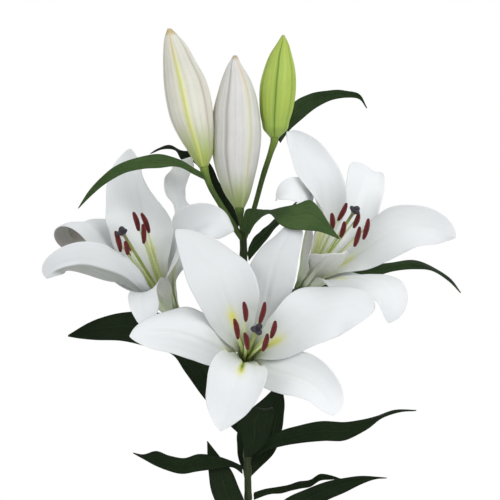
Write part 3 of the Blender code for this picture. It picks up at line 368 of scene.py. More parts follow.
# Stalks: (column, row, depth, radius in mm) from the stem out.
FOOT = (258, 861.8, 2, 2.9)
STALKS = {
    "main": [FOOT, (253.5, 700, 1, 2.9), (249.6, 560, 0, 2.9), (248.2, 500, 0, 2.9), (247.6, 470, 0, 2.85), (246.8, 440, 0, 2.9), (246, 420, 0, 3.0), (245.4, 380, 0, 3.0), (244.6, 320, 0, 3.0), (243.8, 262, 0, 3.0), (243.2, 240, 0, 3.0), (242.6, 231, 0, 2.9)],
    "bud_left": [(243.2, 241, 0, 2.0), (236, 229.5, -2, 2.4), (221.5, 206, -6, 2.3), (211, 188, -8, 2.3), (206.6, 177, -9, 2.7), (204.4, 170.2, -9, 3.4)],
    "bud_centre": [(243.4, 238, 0, 2.2), (242, 226, -1, 2.3), (240.4, 217, -2, 2.5), (239.6, 210.6, -3, 3.6)],
    "bud_right": [(243.6, 240, 0, 2.2), (247.5, 230, 0, 2.2), (254, 209, 1, 2.1), (264, 173, 2, 2.2), (271.5, 150, 2, 2.5), (274.4, 140.4, 2, 3.2)],
    "left": [(245.6, 392, 0, 2.2), (228, 374, 12, 2.5), (204, 354, 28, 2.5)],
    "right": [(245.2, 372, 0, 2.2), (264, 352, 14, 2.5), (280, 328, 30, 2.5)],
    "front": [(246.2, 436, 0, 2.2), (246.6, 412, -5, 2.4), (246.2, 388, -9, 2.4)],
}


# ---------------------------------------------------------------- solids as rings and grids
S_GRID = np.array([0, 0.09, 0.2, 0.32, 0.45, 0.58, 0.7, 0.81, 0.9, 0.965, 1.0])
X_GRID = np.array([-1, -0.5, 0, 0.5, 1.0])
LEAF_S = 12
LEAF_X = np.array([-1, 0, 1.0])
SHEET_GAP = 0.0020

# Which sheet lies in front where two cross, front to back.
ORDER = ["leaf_05", "leaf_01", "front_5", "front_3", "front_1", "front_4", "front_6", "front_2", "leaf_11", "left_4", "left_2",
         "left_6", "left_5", "left_3", "left_1", "right_5", "right_1", "right_3", "right_6", "right_2", "right_4", "leaf_12",
         "leaf_13", "leaf_16", "leaf_14", "leaf_15", "leaf_10", "leaf_08", "leaf_07", "leaf_06", "leaf_02", "leaf_03"]


def lies(a, b):
    fa, fb = a.rsplit("_", 1)[0], b.rsplit("_", 1)[0]
    if fa in FLOWERS and fa == fb and TEPALS[a]["whorl"] != TEPALS[b]["whorl"]:
        return -1 if TEPALS[a]["whorl"] == "inner" else 1
    return 0 if ORDER.index(a) < ORDER.index(b) else 2


def sheets():
    """The middle surfaces of all tepals and leaves, moved apart where they would touch."""
    raw = {k: tepal(FLOWERS[k.rsplit("_", 1)[0]], p, S_GRID, X_GRID) for k, p in TEPALS.items()}
    raw.update({k: leaf(q, np.linspace(0, 1, LEAF_S), LEAF_X, 0.16) for k, q in LEAVES.items()})
    return raw, part_ways(raw, lies, SHEET_GAP, 60)


def ring_frames(path):
    t = unit(np.gradient(path, axis=0))
    n = np.zeros_like(t)
    ref = np.array([0.0, 1.0, 0.0])
    for i in range(len(t)):
        v = ref - (ref @ t[i]) * t[i]
        n[i] = unit(v)
        ref = n[i]
    return t, n, np.cross(t, n)


def tube_rings(path, radii, sides):
    t, n, b = ring_frames(path)
    a = np.arange(sides) * 2 * np.pi / sides
    return path[:, None] + radii[:, None, None] * (np.cos(a)[None, :, None] * n[:, None] + np.sin(a)[None, :, None] * b[:, None])


def stalk_rings(key, sides):
    pts = np.array([np.append(front(*q[:3]), q[3] * 0.001) for q in STALKS[key]])
    if key in FLOWERS:
        f = FLOWERS[key]
        ends = [np.append(f.o - f.a * d, r) for d, r in ((0.022, 0.0026), (0.012, 0.0034), (0.005, 0.0058), (0.0, RECEPTACLE_R))]
        pts = np.concatenate([pts, ends])
    n = {"main": 16}.get(key, 9)
    p = through(pts, n)
    if key in FLOWERS:
        p[-1] = pts[-1]
        p[-2] = pts[-2]
    return tube_rings(p[:, :3], p[:, 3], sides)


def bud_rings(key, sides, n):
    rails, d0, d1, turn = BUDS[key]
    k = len(rails)
    a = np.array([front(q[0], q[1], d0 + (d1 - d0) * i / (k - 1)) for i, q in enumerate(rails)])
    b = np.array([front(q[2], q[3], d0 + (d1 - d0) * i / (k - 1)) for i, q in enumerate(rails)])
    mid = (a + b) / 2
    c = np.concatenate([[0], np.cumsum(np.linalg.norm(np.diff(mid, axis=0), axis=1))])
    c /= c[-1]
    s = np.linspace(0, 1, n)
    A, B = curve(c, a, s), curve(c, b, s)
    mid, half = (A + B) / 2, (B - A) / 2
    t = unit(np.gradient(mid, axis=0))
    back = unit(np.cross(half, t))
    back = np.where(back[:, 1:2] < 0, -back, back)
    r = np.linalg.norm(half, axis=1)
    al = np.arange(sides) * 2 * np.pi / sides
    return mid, t, half, back, r, al


def bud_solid(key, sides=14, n=15):
    mid, t, half, back, r, al = bud_rings(key, sides, n)
    return mid[:, None] + np.cos(al)[None, :, None] * half[:, None] + np.sin(al)[None, :, None] * back[:, None] * r[:, None, None]


def capped(rings):
    """Vertices and faces of a closed body from rings of points, outward normals."""
    n, m = rings.shape[:2]
    v = rings.reshape(-1, 3)
    f = []
    for i in range(n - 1):
        for j in range(m):
            k = (j + 1) % m
            f.append((i * m + j, i * m + k, (i + 1) * m + k, (i + 1) * m + j))
    f.append(tuple(range(m))[::-1])
    f.append(tuple((n - 1) * m + j for j in range(m)))
    tri = v[np.array([[q[0], q[1], q[2]] for q in f])]
    vol = 0.0
    for q in f:
        for i in range(1, len(q) - 1):
            vol += np.linalg.det(v[[q[0], q[i], q[i + 1]]])
    if vol < 0:
        f = [q[::-1] for q in f]
    return v, f


def reach(flower, u, v, dist):
    """The point at this distance from the receptacle, nearer the viewer, on the line of sight of (u, v)."""
    eye = np.array([PLANT_X, PLANT_Y - VIEW, ELEV_Z])
    d = unit(front(u, v, 0.0) - eye)
    q = eye - flower.o
    b = q @ d
    disc = b * b - (q @ q - dist * dist)
    return eye + d * (-b - math.sqrt(max(disc, 0.0)))


def stamen_path(name, i, n):
    """Filament's path and the anther's two ends."""
    f = FLOWERS[name]
    u1, v1, u2, v2, far = STAMENS[name][i]
    mid = reach(f, (u1 + u2) / 2, (v1 + v2) / 2, far * 0.001)
    depth = (mid[1] - PLANT_Y) * 1000
    p1, p2 = front(u1, v1, depth - 1.5), front(u2, v2, depth + 1.5)
    mid = (p1 + p2) / 2
    rest = mid - f.o
    side = unit(rest - (rest @ f.a) * f.a)
    place = ANGLES[name][i]
    start = f.o + f.a * 0.0008 + 0.0030 * f.spoke(place)
    ax = unit(p1 - p2)
    toward = unit(mid - start)
    off = unit(toward - (toward @ ax) * ax)
    end = mid - off * 0.0012
    t = np.linspace(0, 1, n)[:, None]
    c1 = start + f.a * 0.030
    c2 = end - unit(toward + f.a * 0.15) * 0.03
    path = (1 - t) ** 3 * start + 3 * t * (1 - t) ** 2 * c1 + 3 * t * t * (1 - t) * c2 + t**3 * end
    return path, p1, p2, off


def spread_places():
    """Gives each filament of a flower its own place round the pistil, in the order of the anthers' directions."""
    out = {}
    for name, f in FLOWERS.items():
        way = []
        for u1, v1, u2, v2, far in STAMENS[name]:
            r = reach(f, (u1 + u2) / 2, (v1 + v2) / 2, far * 0.001) - f.o
            way.append(math.atan2(r @ f.e2, r @ f.e1))
        order = np.argsort(way)
        base = way[order[0]]
        best = min(np.linspace(0, 2 * math.pi, 72, endpoint=False),
                   key=lambda q: sum(1 - math.cos(q + k * math.pi / 3 - way[order[k]]) for k in range(6)))
        out[name] = [0.0] * 6
        for k in range(6):
            out[name][order[k]] = best + k * math.pi / 3
    return out


ANGLES = spread_places()


def anther_rings(p1, p2, sides, n):
    t = np.linspace(0, 1, n)
    bow = unit(np.cross(p2 - p1, np.array([0.0, 1.0, 0.0]))) * 0.0006
    path = p1 + (p2 - p1) * t[:, None] + bow * np.sin(np.pi * t)[:, None]
    r = 0.0023 * np.maximum(np.sin(np.pi * (0.07 + 0.86 * t)) ** 0.5, 0.2)
    return tube_rings(path, r, sides)


def swells(knots, values, x):
    """Values that pass from knot to knot without overshooting."""
    knots, values = np.asarray(knots, float), np.asarray(values, float)
    i = np.clip(np.searchsorted(knots, x, side="right") - 1, 0, len(knots) - 2)
    u = np.clip((x - knots[i]) / (knots[i + 1] - knots[i]), 0, 1)
    return values[i] + (values[i + 1] - values[i]) * u * u * (3 - 2 * u)


def pistil_path(name, n):
    f = FLOWERS[name]
    u, v, far = PISTILS[name]
    tip = reach(f, u, v, far * 0.001)
    start = f.o + f.a * 0.0008
    t = np.linspace(0, 1, n)[:, None]
    c1 = start + f.a * 0.035
    c2 = tip - unit(tip - start + f.a * 0.02) * 0.02
    path = (1 - t) ** 3 * start + 3 * t * (1 - t) ** 2 * c1 + 3 * t * t * (1 - t) * c2 + t**3 * tip
    r = swells([0, 0.1, 0.24, 0.34, 0.6, 0.90, 0.965, 1], [0.0012, 0.0019, 0.0019, 0.0012, 0.0012, 0.0013, 0.0036, 0.0030], t[:, 0])
    return path, r


def vase_profile():
    """Outer side from foot to lip, then the inside down to the floor: (radius, height)."""
    H, w = VASE_H, VASE_WALL
    zk = np.array([0.002, 0.02, 0.045, 0.08, 0.115, 0.145, 0.170, 0.195, 0.220, 0.238, H - 0.002]) * (H - 0.002) / 0.248
    rk = np.array([VASE_FOOT_R, VASE_FOOT_R + 0.0065, VASE_BODY_R - 0.0035, VASE_BODY_R, VASE_BODY_R - 0.008, 0.040, 0.027,
                   VASE_NECK_R + 0.0012, VASE_NECK_R, VASE_NECK_R + 0.001, VASE_LIP_R])
    outer = [(VASE_FOOT_R - 0.002, 0.0)] + list(zip(rk, zk)) + [(VASE_LIP_R - 0.0012, H)]
    zi = zk[::-1]
    ri = (rk - w)[::-1]
    inner = [(VASE_LIP_R - 0.0028, H)] + [(r, z) for r, z in zip(ri, zi) if z > VASE_FLOOR + 0.006]
    inner += [(VASE_FOOT_R - 0.0035, VASE_FLOOR + 0.002), (VASE_FOOT_R - 0.007, VASE_FLOOR)]
    return outer, inner


# ---------------------------------------------------------------- meshes
class Body:
    """Points, faces and texture places of one piece, gathered from closed surfaces."""

    def __init__(self):
        self.v, self.f, self.uv, self.m = [], [], [], []

    def add(self, verts, faces, uvs, mats):
        base = len(self.v)
        self.v += [tuple(map(float, p)) for p in verts]
        self.f += [tuple(base + k for k in q) for q in faces]
        self.uv += uvs
        self.m += mats if isinstance(mats, list) else [mats] * len(faces)

    def make(self, name, materials, nodes):
        mesh = bpy.data.meshes.new(name)
        mesh.from_pydata(self.v, [], self.f)
        layer = mesh.uv_layers.new(name="UVMap")
        layer.data.foreach_set("uv", np.array([c for q in self.uv for p in q for c in p], np.float32))
        mesh.polygons.foreach_set("material_index", np.array(self.m, np.int32))
        for mat in materials:
            mesh.materials.append(mat)
        mesh.shade_smooth()
        mesh.update()
        ob = bpy.data.objects.new(name, mesh)
        bpy.context.scene.collection.objects.link(ob)
        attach(ob, "root")
        if nodes:
            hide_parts(*nodes)
        return ob


def grid_quads(n, m, flip=False):
    i, j = np.meshgrid(np.arange(n - 1), np.arange(m - 1), indexing="ij")
    a = (i * m + j).ravel()
    q = np.stack([a, a + 1, a + m + 1, a + m], 1)
    return q[:, ::-1] if flip else q


def shell(body, P, N, up, down, S, X, mats):
    """A closed sheet: its two faces stand up and down from the middle surface P, along N."""
    n, m = P.shape[:2]
    top = (P + N * up[..., None]).reshape(-1, 3)
    low = (P - N * down[..., None]).reshape(-1, 3)
    uv = np.stack([np.broadcast_to((X * 0.5 + 0.5)[None], (n, m)), np.broadcast_to(S[:, None], (n, m))], -1).reshape(-1, 2)
    q0, q1 = grid_quads(n, m), grid_quads(n, m, True) + n * m
    ring = [i * m for i in range(n)] + [(n - 1) * m + j for j in range(1, m)] + [i * m + m - 1 for i in range(n - 2, -1, -1)] + list(range(m - 2, 0, -1))
    nxt = ring[1:] + ring[:1]
    rim = np.array([(a, b, b + n * m, a + n * m) for a, b in zip(ring, nxt)])
    faces = np.concatenate([q0, q1, rim])
    both = np.concatenate([uv, uv])
    uvs = [[tuple(both[k]) for k in q] for q in faces]
    body.add(np.concatenate([top, low]), [tuple(map(int, q)) for q in faces], uvs,
             [mats[0]] * len(q0) + [mats[1]] * len(q1) + [mats[0]] * len(rim))


def tube(body, rings, mat, caps=(True, True), u0=0.0, u1=1.0):
    """A closed body through rings of points, closed at both ends by a fan of faces to the ring's middle (caps is not
    used).
    """
    n, m = rings.shape[:2]
    c = rings.mean(1)
    d = np.concatenate([[0], np.cumsum(np.linalg.norm(np.diff(c, axis=0), axis=1))])
    d = u0 + (u1 - u0) * d / max(d[-1], 1e-9)
    v = rings.reshape(-1, 3)
    faces, uvs = [], []
    for i in range(n - 1):
        for j in range(m):
            k = (j + 1) % m
            faces.append((i * m + j, i * m + k, (i + 1) * m + k, (i + 1) * m + j))
            uvs.append([(j / m, d[i]), ((j + 1) / m, d[i]), ((j + 1) / m, d[i + 1]), (j / m, d[i + 1])])
    pts = [v]
    count = n * m
    for end, row in ((0, 0), (1, n - 1)):
        pts.append(c[row][None])
        for j in range(m):
            k = (j + 1) % m
            a, b = row * m + j, row * m + k
            faces.append((count, b, a) if end == 0 else (count, a, b))
            uvs.append([(0.5, d[row])] * 3)
        count += 1
    v = np.concatenate(pts)
    tri = np.array([(q[0], q[1], q[2]) for q in faces] + [(q[0], q[2], q[3]) for q in faces if len(q) == 4])
    w = v - v.mean(0)
    if np.einsum("ij,ij->i", w[tri[:, 0]], np.cross(w[tri[:, 1]], w[tri[:, 2]])).sum() < 0:
        faces = [q[::-1] for q in faces]
        uvs = [q[::-1] for q in uvs]
    body.add(v, faces, uvs, mat)


def resample(knots, values, x):
    """values (over knots, any shape behind) at x, by smooth curves."""
    flat = values.reshape(len(knots), -1)
    return curve(knots, flat, x).reshape((len(x),) + values.shape[1:])


def bell(x, c, w):
    return np.exp(-(((x - c) / w) ** 2))


def ease(x, a, b):
    t = np.clip((x - a) / (b - a), 0, 1)
    return t * t * (3 - 2 * t)


def wave(t, seed, n=6, low=1.0):
    """A smooth wandering line between about -1 and 1."""
    out = 0
    for k in range(n):
        a = math.sin(seed * 12.9898 + k * 78.233) * 43758.5453
        a -= math.floor(a)
        b = math.sin(seed * 39.425 + k * 17.31) * 9371.77
        b -= math.floor(b)
        out = out + math.sin(a * 6.283) * 0 + np.sin((low + k * 0.8 + b * 0.7) * 6.283 * t + a * 6.283) / (1 + 0.35 * k)
    return out / 2.2


# ---------------------------------------------------------------- materials
class Paint:
    """A node material under construction."""

    def __init__(self, name, rough=0.5, level=0.3, **sockets):
        self.mat = bpy.data.materials.new(name)
        self.mat.use_nodes = True
        self.t = self.mat.node_tree
        self.b = self.t.nodes["Principled BSDF"]
        self.b.inputs["Roughness"].default_value = rough
        self.b.inputs["Specular IOR Level"].default_value = level
        for k, v in sockets.items():
            self.b.inputs[k.replace("_", " ")].default_value = v
        uv = self.new("ShaderNodeUVMap")
        uv.uv_map = "UVMap"
        sep = self.new("ShaderNodeSeparateXYZ")
        self.link(uv.outputs[0], sep.inputs[0])
        self.u, self.s = sep.outputs[0], sep.outputs[1]
        self.x = self.m("MULTIPLY_ADD", self.u, 2.0, -1.0)
        self.ax = self.m("ABSOLUTE", self.x)
        self.co = self.new("ShaderNodeTexCoord").outputs["Object"]

    def new(self, kind):
        return self.t.nodes.new(kind)

    def link(self, a, b):
        self.t.links.new(a, b)

    def put(self, socket, value):
        if isinstance(value, bpy.types.NodeSocket):
            self.link(value, socket)
        elif hasattr(value, "__len__"):
            socket.default_value = (*value, 1.0) if len(value) == 3 and len(socket.default_value) == 4 else value
        else:
            socket.default_value = value

    def m(self, op, a, b=None, c=None, clamp=False):
        n = self.new("ShaderNodeMath")
        n.operation = op
        n.use_clamp = clamp
        for k, v in enumerate((a, b, c)):
            if v is not None:
                self.put(n.inputs[k], v)
        return n.outputs[0]

    def step(self, v, a, b):
        n = self.new("ShaderNodeMapRange")
        n.interpolation_type = "SMOOTHSTEP"
        self.put(n.inputs["Value"], v)
        n.inputs["From Min"].default_value = a
        n.inputs["From Max"].default_value = b
        return n.outputs[0]

    def bell(self, v, c, w):
        d = self.m("MULTIPLY_ADD", v, 1.0 / w, -c / w)
        return self.m("EXPONENT", self.m("MULTIPLY", self.m("MULTIPLY", d, d), -1.0))

    def noise(self, scale, detail=3.0, rough=0.5, vec=None, stretch=None, warp=0.0):
        n = self.new("ShaderNodeTexNoise")
        n.inputs["Scale"].default_value = scale
        n.inputs["Detail"].default_value = detail
        n.inputs["Roughness"].default_value = rough
        n.inputs["Distortion"].default_value = warp
        v = vec or self.co
        if stretch:
            mp = self.new("ShaderNodeMapping")
            mp.inputs["Scale"].default_value = stretch
            self.link(v, mp.inputs["Vector"])
            v = mp.outputs[0]
        self.link(v, n.inputs["Vector"])
        return n.outputs[0]

    def place(self, a, b, c=0.0):
        n = self.new("ShaderNodeCombineXYZ")
        self.put(n.inputs[0], a)
        self.put(n.inputs[1], b)
        self.put(n.inputs[2], c)
        return n.outputs[0]

    def cells(self, scale, vec=None, feature="F1"):
        n = self.new("ShaderNodeTexVoronoi")
        n.feature = feature
        n.inputs["Scale"].default_value = scale
        self.link(vec or self.co, n.inputs["Vector"])
        return n.outputs[0]

    def mix(self, f, a, b, kind="MIX"):
        n = self.new("ShaderNodeMix")
        n.data_type = "RGBA"
        n.blend_type = kind
        n.clamp_factor = True
        self.put(n.inputs[0], f)
        self.put(n.inputs[6], a)
        self.put(n.inputs[7], b)
        return n.outputs[2]

    def lines(self, count, wander=0.6, sharp=3.0, seed=0.0):
        """Fine lines along the length: 1 on a line, 0 between."""
        w = self.noise(6.0, 2.0, 0.5, self.place(self.m("MULTIPLY", self.x, 1.6), self.m("MULTIPLY", self.s, 2.4), seed))
        a = self.m("MULTIPLY_ADD", self.x, count * math.pi, self.m("MULTIPLY", w, wander * 2 * math.pi))
        c = self.m("MULTIPLY_ADD", self.m("COSINE", a), 0.5, 0.5)
        return self.m("POWER", c, sharp)

    def done(self, colour, rough=None, bumps=()):
        self.link(colour, self.b.inputs["Base Color"])
        if rough is not None:
            self.link(rough, self.b.inputs["Roughness"])
        last = None
        for height, strength, distance in bumps:
            n = self.new("ShaderNodeBump")
            n.inputs["Strength"].default_value = strength
            n.inputs["Distance"].default_value = distance
            self.link(height, n.inputs["Height"])
            if last:
                self.link(last, n.inputs["Normal"])
            last = n.outputs[0]
        if last:
            self.link(last, self.b.inputs["Normal"])
        return self.mat


def petal_face(name, white, furrow, lip=None):
    """A tepal's inner face: white with faint veins, a pale midrib, and a green nectar furrow in a yellow halo at its
    foot; with a lip line given, a grey band of painted shade along the turned-up margin.
    """
    p = Paint(name, 0.5, 0.28, Subsurface_Weight=0.12, Subsurface_Scale=0.004, Sheen_Weight=0.08, Sheen_Roughness=0.5)
    p.b.inputs["Subsurface Radius"].default_value = (1.0, 0.95, 0.85)
    tone = p.noise(22.0, 3.0, 0.55)
    c = p.mix(p.m("MULTIPLY", p.step(tone, 0.35, 0.75), 0.5), white, [k * 0.955 for k in white])
    veins = p.lines(17, 0.25, 4.0, 1.3)
    fade = p.m("SUBTRACT", 1.0, p.step(p.s, 0.75, 1.0))
    c = p.mix(p.m("MULTIPLY", p.m("MULTIPLY", veins, fade), 0.08), c, (0.66, 0.71, 0.70))
    rib = p.m("MULTIPLY", p.bell(p.x, 0.0, 0.07), p.m("SUBTRACT", 1.0, p.step(p.s, 0.55, 0.98)))
    c = p.mix(p.m("MULTIPLY", rib, 0.14), c, (0.66, 0.72, 0.62))
    edge = p.step(p.ax, 0.86, 1.0)
    c = p.mix(p.m("MULTIPLY", edge, 0.10), c, (0.72, 0.74, 0.74))
    low = p.m("SUBTRACT", 1.0, p.step(p.s, 0.06, 0.30))
    c = p.mix(p.m("MULTIPLY", low, 0.75), c, (0.70, 0.74, 0.42))
    wobble = p.m("MULTIPLY", p.m("SUBTRACT", p.noise(90.0, 3.0, 0.6), 0.5), 0.09)
    sw = p.m("ADD", p.s, wobble)
    halo = p.m("MULTIPLY", p.bell(p.x, furrow[6], furrow[4]), p.m("MULTIPLY", p.step(sw, 0.02, 0.10), p.m("SUBTRACT", 1.0, p.step(sw, furrow[0] - 0.07, furrow[0] + 0.03))))
    c = p.mix(p.m("MULTIPLY", halo, furrow[2]), c, (0.76, 0.74, 0.12))
    deep = p.m("MULTIPLY", p.bell(p.x, furrow[6], furrow[5]), p.m("SUBTRACT", 1.0, p.step(sw, furrow[1] - 0.06, furrow[1] + 0.02)))
    c = p.mix(p.m("MULTIPLY", deep, furrow[3]), c, (0.13, 0.20, 0.025))
    # painted shade: a grey band beyond the lip line, for the underside of the turned-up margin in shadow
    if lip:
        over = p.m("SUBTRACT", p.x, p.m("MULTIPLY_ADD", p.s, *lip))
        lip_shade_band = p.m("MULTIPLY", p.step(p.m("ADD", over, p.m("MULTIPLY", p.m("SUBTRACT", tone, 0.5), 0.08)), -0.03, 0.05), p.m("SUBTRACT", 1.0, p.step(p.s, 0.90, 0.97)))
        c = p.mix(p.m("MULTIPLY", lip_shade_band, 0.9), c, (0.33, 0.345, 0.315))
    rough = p.m("MULTIPLY_ADD", p.noise(160.0, 2.0), 0.16, 0.42)
    grain = p.cells(1500.0)
    return p.done(c, rough, [(veins, 0.05, 0.0003), (grain, 0.08, 0.0002), (p.noise(70.0, 3.0), 0.10, 0.0010)])


def petal_back(name, white, green, ridge=0.8):
    """A tepal's outer face: greyer, in painted shade for a face turned from the light, with a green keel and green
    veins that spread from its foot.
    """
    p = Paint(name, 0.5, 0.25, Subsurface_Weight=0.10, Subsurface_Scale=0.004, Sheen_Weight=0.08)
    tone = p.noise(26.0, 3.0, 0.6)
    # the given white is the outer face's grey: painted shade
    c = p.mix(p.step(tone, 0.3, 0.75), white, [k * 0.92 for k in white])
    foot = p.m("SUBTRACT", 1.0, p.step(p.m("ADD", p.s, p.m("MULTIPLY", tone, 0.08)), 0.10, 0.62))
    c = p.mix(p.m("MULTIPLY", foot, 0.75), c, green)
    veins = p.lines(15, 0.3, 3.0, 4.1)
    c = p.mix(p.m("MULTIPLY", veins, p.m("MULTIPLY_ADD", foot, 0.45, 0.10)), c, (0.34, 0.43, 0.22))
    keel = p.m("MULTIPLY", p.bell(p.x, 0.0, 0.10), p.m("MULTIPLY_ADD", p.step(p.s, 0.4, 1.0), -0.6, 0.85))
    c = p.mix(p.m("MULTIPLY", keel, ridge), c, (0.40, 0.50, 0.22))
    base = p.m("SUBTRACT", 1.0, p.step(p.s, 0.02, 0.14))
    c = p.mix(p.m("MULTIPLY", base, 0.9), c, (0.07, 0.13, 0.03))
    rough = p.m("MULTIPLY_ADD", p.noise(150.0, 2.0), 0.16, 0.44)
    return p.done(c, rough, [(veins, 0.22, 0.0005), (p.cells(1400.0), 0.10, 0.0002)])


def leaf_paint(name, dark, light, rib, level=0.25, rough0=0.36):
    """A blade: parallel veins, mottled greens, a paler midrib and a waxy skin."""
    p = Paint(name, 0.4, level)
    patch = p.noise(28.0, 4.0, 0.6)
    c = p.mix(p.step(patch, 0.3, 0.72), dark, light)
    streak = p.noise(5.0, 3.0, 0.6, p.place(p.m("MULTIPLY", p.x, 5.0), p.m("MULTIPLY", p.s, 0.7), 2.0))
    c = p.mix(p.m("MULTIPLY", p.step(streak, 0.4, 0.7), 0.45), c, light)
    veins = p.lines(13, 0.12, 6.0, 0.7)
    c = p.mix(p.m("MULTIPLY", veins, 0.35), c, rib)
    fine = p.lines(37, 0.2, 3.0, 2.2)
    c = p.mix(p.m("MULTIPLY", fine, 0.12), c, rib)
    c = p.mix(p.m("MULTIPLY", p.bell(p.x, 0.0, 0.05), 0.5), c, rib)
    tip = p.m("MULTIPLY", p.step(p.s, 0.94, 1.0), p.step(p.noise(60.0), 0.35, 0.6))
    c = p.mix(p.m("MULTIPLY", tip, 0.55), c, (0.10, 0.075, 0.03))
    rough = p.m("MULTIPLY_ADD", p.noise(120.0, 3.0), 0.22, rough0)
    return p.done(c, rough, [(veins, 0.45, 0.0008), (fine, 0.30, 0.0003), (p.noise(45.0, 3.0), 0.35, 0.0015)])


def bud_paint(name, body, foot, ridge, tip, seam, turn, line, top_line, dark_line=False):
    """A closed bud: three keels and three seams down its length. turn is where the front keel lies."""
    p = Paint(name, 0.45, 0.3, Subsurface_Weight=0.1, Subsurface_Scale=0.004)
    a = p.m("MULTIPLY_ADD", p.u, 3 * 2 * math.pi, -3 * 2 * math.pi * turn)
    third = p.m("MULTIPLY_ADD", p.m("COSINE", a), 0.5, 0.5)  # 1 on a keel, 0 on a seam
    tone = p.noise(30.0, 4.0, 0.6)
    c = p.mix(p.step(tone, 0.3, 0.7), body, [k * 0.90 for k in body])
    streak = p.noise(5.0, 3.0, 0.5, p.place(p.m("MULTIPLY", p.u, 14.0), p.s, 1.0))
    c = p.mix(p.m("MULTIPLY", p.step(streak, 0.45, 0.75), 0.35), c, ridge)
    sw = p.m("ADD", p.s, p.m("MULTIPLY", p.m("SUBTRACT", tone, 0.5), 0.12))
    c = p.mix(p.step(sw, *foot[1]), c, foot[0])
    c = p.mix(p.m("SUBTRACT", 1.0, p.step(sw, *tip[1])), c, tip[0])
    keel = p.m("ADD", p.m("MULTIPLY", p.m("POWER", third, 36.0), 0.75), p.m("MULTIPLY", p.m("POWER", third, 8.0), 0.25))
    c = p.mix(p.m("MULTIPLY", keel, line[1]), c, p.mix(p.step(sw, 0.10, 0.36), top_line, line[0]))
    if dark_line:
        c = p.mix(p.m("MULTIPLY", p.m("POWER", third, 220.0), 0.85), c, (0.10, 0.18, 0.02))
    else:
        c = p.mix(p.m("MULTIPLY", p.m("POWER", third, 260.0), 0.30), c, [k * 0.62 for k in line[0]])
    gap = p.m("POWER", p.m("SUBTRACT", 1.0, third), 60.0)
    c = p.mix(p.m("MULTIPLY", gap, 0.7), c, seam)
    fine = p.m("POWER", p.m("MULTIPLY_ADD", p.m("COSINE", p.m("MULTIPLY", a, 7.0)), 0.5, 0.5), 3.0)
    c = p.mix(p.m("MULTIPLY", fine, 0.12), c, seam)
    rough = p.m("MULTIPLY_ADD", p.noise(130.0, 3.0), 0.18, 0.38)
    return p.done(c, rough, [(fine, 0.18, 0.0005), (p.cells(1200.0), 0.10, 0.0002), (p.noise(60.0), 0.2, 0.001)])


def stem_paint(name, dark, light, top=None):
    p = Paint(name, 0.42, 0.22)
    c = p.mix(p.step(p.noise(40.0, 4.0, 0.6), 0.3, 0.7), dark, light)
    if top:
        c = p.mix(p.m("MULTIPLY", p.step(p.s, 0.60, 0.95), 0.9), c, top)
    streak = p.noise(6.0, 3.0, 0.6, p.place(p.m("MULTIPLY", p.u, 9.0), p.m("MULTIPLY", p.s, 3.0)))
    c = p.mix(p.m("MULTIPLY", p.step(streak, 0.45, 0.7), 0.6), c, [k * 1.5 for k in light])
    specks = p.m("SUBTRACT", 1.0, p.step(p.cells(420.0), 0.08, 0.2))
    c = p.mix(p.m("MULTIPLY", specks, 0.3), c, (0.16, 0.10, 0.05))
    ribs = p.m("MULTIPLY_ADD", p.m("COSINE", p.m("MULTIPLY", p.u, 2 * math.pi * 14)), 0.5, 0.5)
    rough = p.m("MULTIPLY_ADD", p.noise(150.0), 0.2, 0.34)
    return p.done(c, rough, [(ribs, 0.35, 0.0004), (p.noise(300.0, 3.0), 0.3, 0.0003)])


def anther_paint():
    """Brick-red pollen in fine grains, darker in the furrows, on a brown anther."""
    p = Paint("anther_pollen", 0.8, 0.12, Sheen_Weight=0.12, Sheen_Roughness=0.6)
    grain = p.cells(2600.0)
    tone = p.noise(260.0, 4.0, 0.65)
    c = p.mix(p.step(tone, 0.35, 0.7), (0.118, 0.012, 0.013), (0.200, 0.026, 0.024))
    c = p.mix(p.m("MULTIPLY", p.step(grain, 0.3, 0.8), 0.35), c, (0.075, 0.012, 0.012))
    front = p.bell(p.u, 0.5, 0.035)
    back = p.m("ADD", p.bell(p.u, 0.0, 0.035), p.bell(p.u, 1.0, 0.035))
    c = p.mix(p.m("MULTIPLY", p.m("ADD", front, back), 0.65), c, (0.045, 0.008, 0.010))
    rough = p.m("MULTIPLY_ADD", p.noise(500.0), 0.25, 0.62)
    return p.done(c, rough, [(grain, 0.8, 0.0003), (p.noise(700.0, 3.0), 0.5, 0.0003)])


def filament_paint():
    p = Paint("filament", 0.42, 0.3, Subsurface_Weight=0.15, Subsurface_Scale=0.002)
    base = p.mix(p.step(p.s, 0.1, 0.85), (0.56, 0.66, 0.19), (0.71, 0.77, 0.44))
    c = p.mix(p.m("MULTIPLY", p.step(p.noise(120.0, 3.0), 0.4, 0.7), 0.3), base, (0.62, 0.68, 0.40))
    rough = p.m("MULTIPLY_ADD", p.noise(300.0), 0.15, 0.38)
    return p.done(c, rough, [(p.noise(400.0, 3.0), 0.25, 0.0003)])


def style_paint():
    p = Paint("style_skin", 0.42, 0.3)
    base = p.mix(p.step(p.s, 0.2, 0.8), (0.46, 0.56, 0.12), (0.30, 0.35, 0.09))
    c = p.mix(p.m("MULTIPLY", p.step(p.noise(110.0, 3.0), 0.4, 0.7), 0.4), base, (0.50, 0.52, 0.26))
    c = p.mix(p.m("MULTIPLY", p.step(p.s, 0.88, 0.95), 0.7), c, (0.20, 0.17, 0.13))
    ribs = p.m("MULTIPLY_ADD", p.m("COSINE", p.m("MULTIPLY", p.u, 2 * math.pi * 6)), 0.5, 0.5)
    rough = p.m("MULTIPLY_ADD", p.noise(300.0), 0.15, 0.38)
    return p.done(c, rough, [(ribs, 0.3, 0.0003), (p.noise(350.0, 3.0), 0.25, 0.0003)])


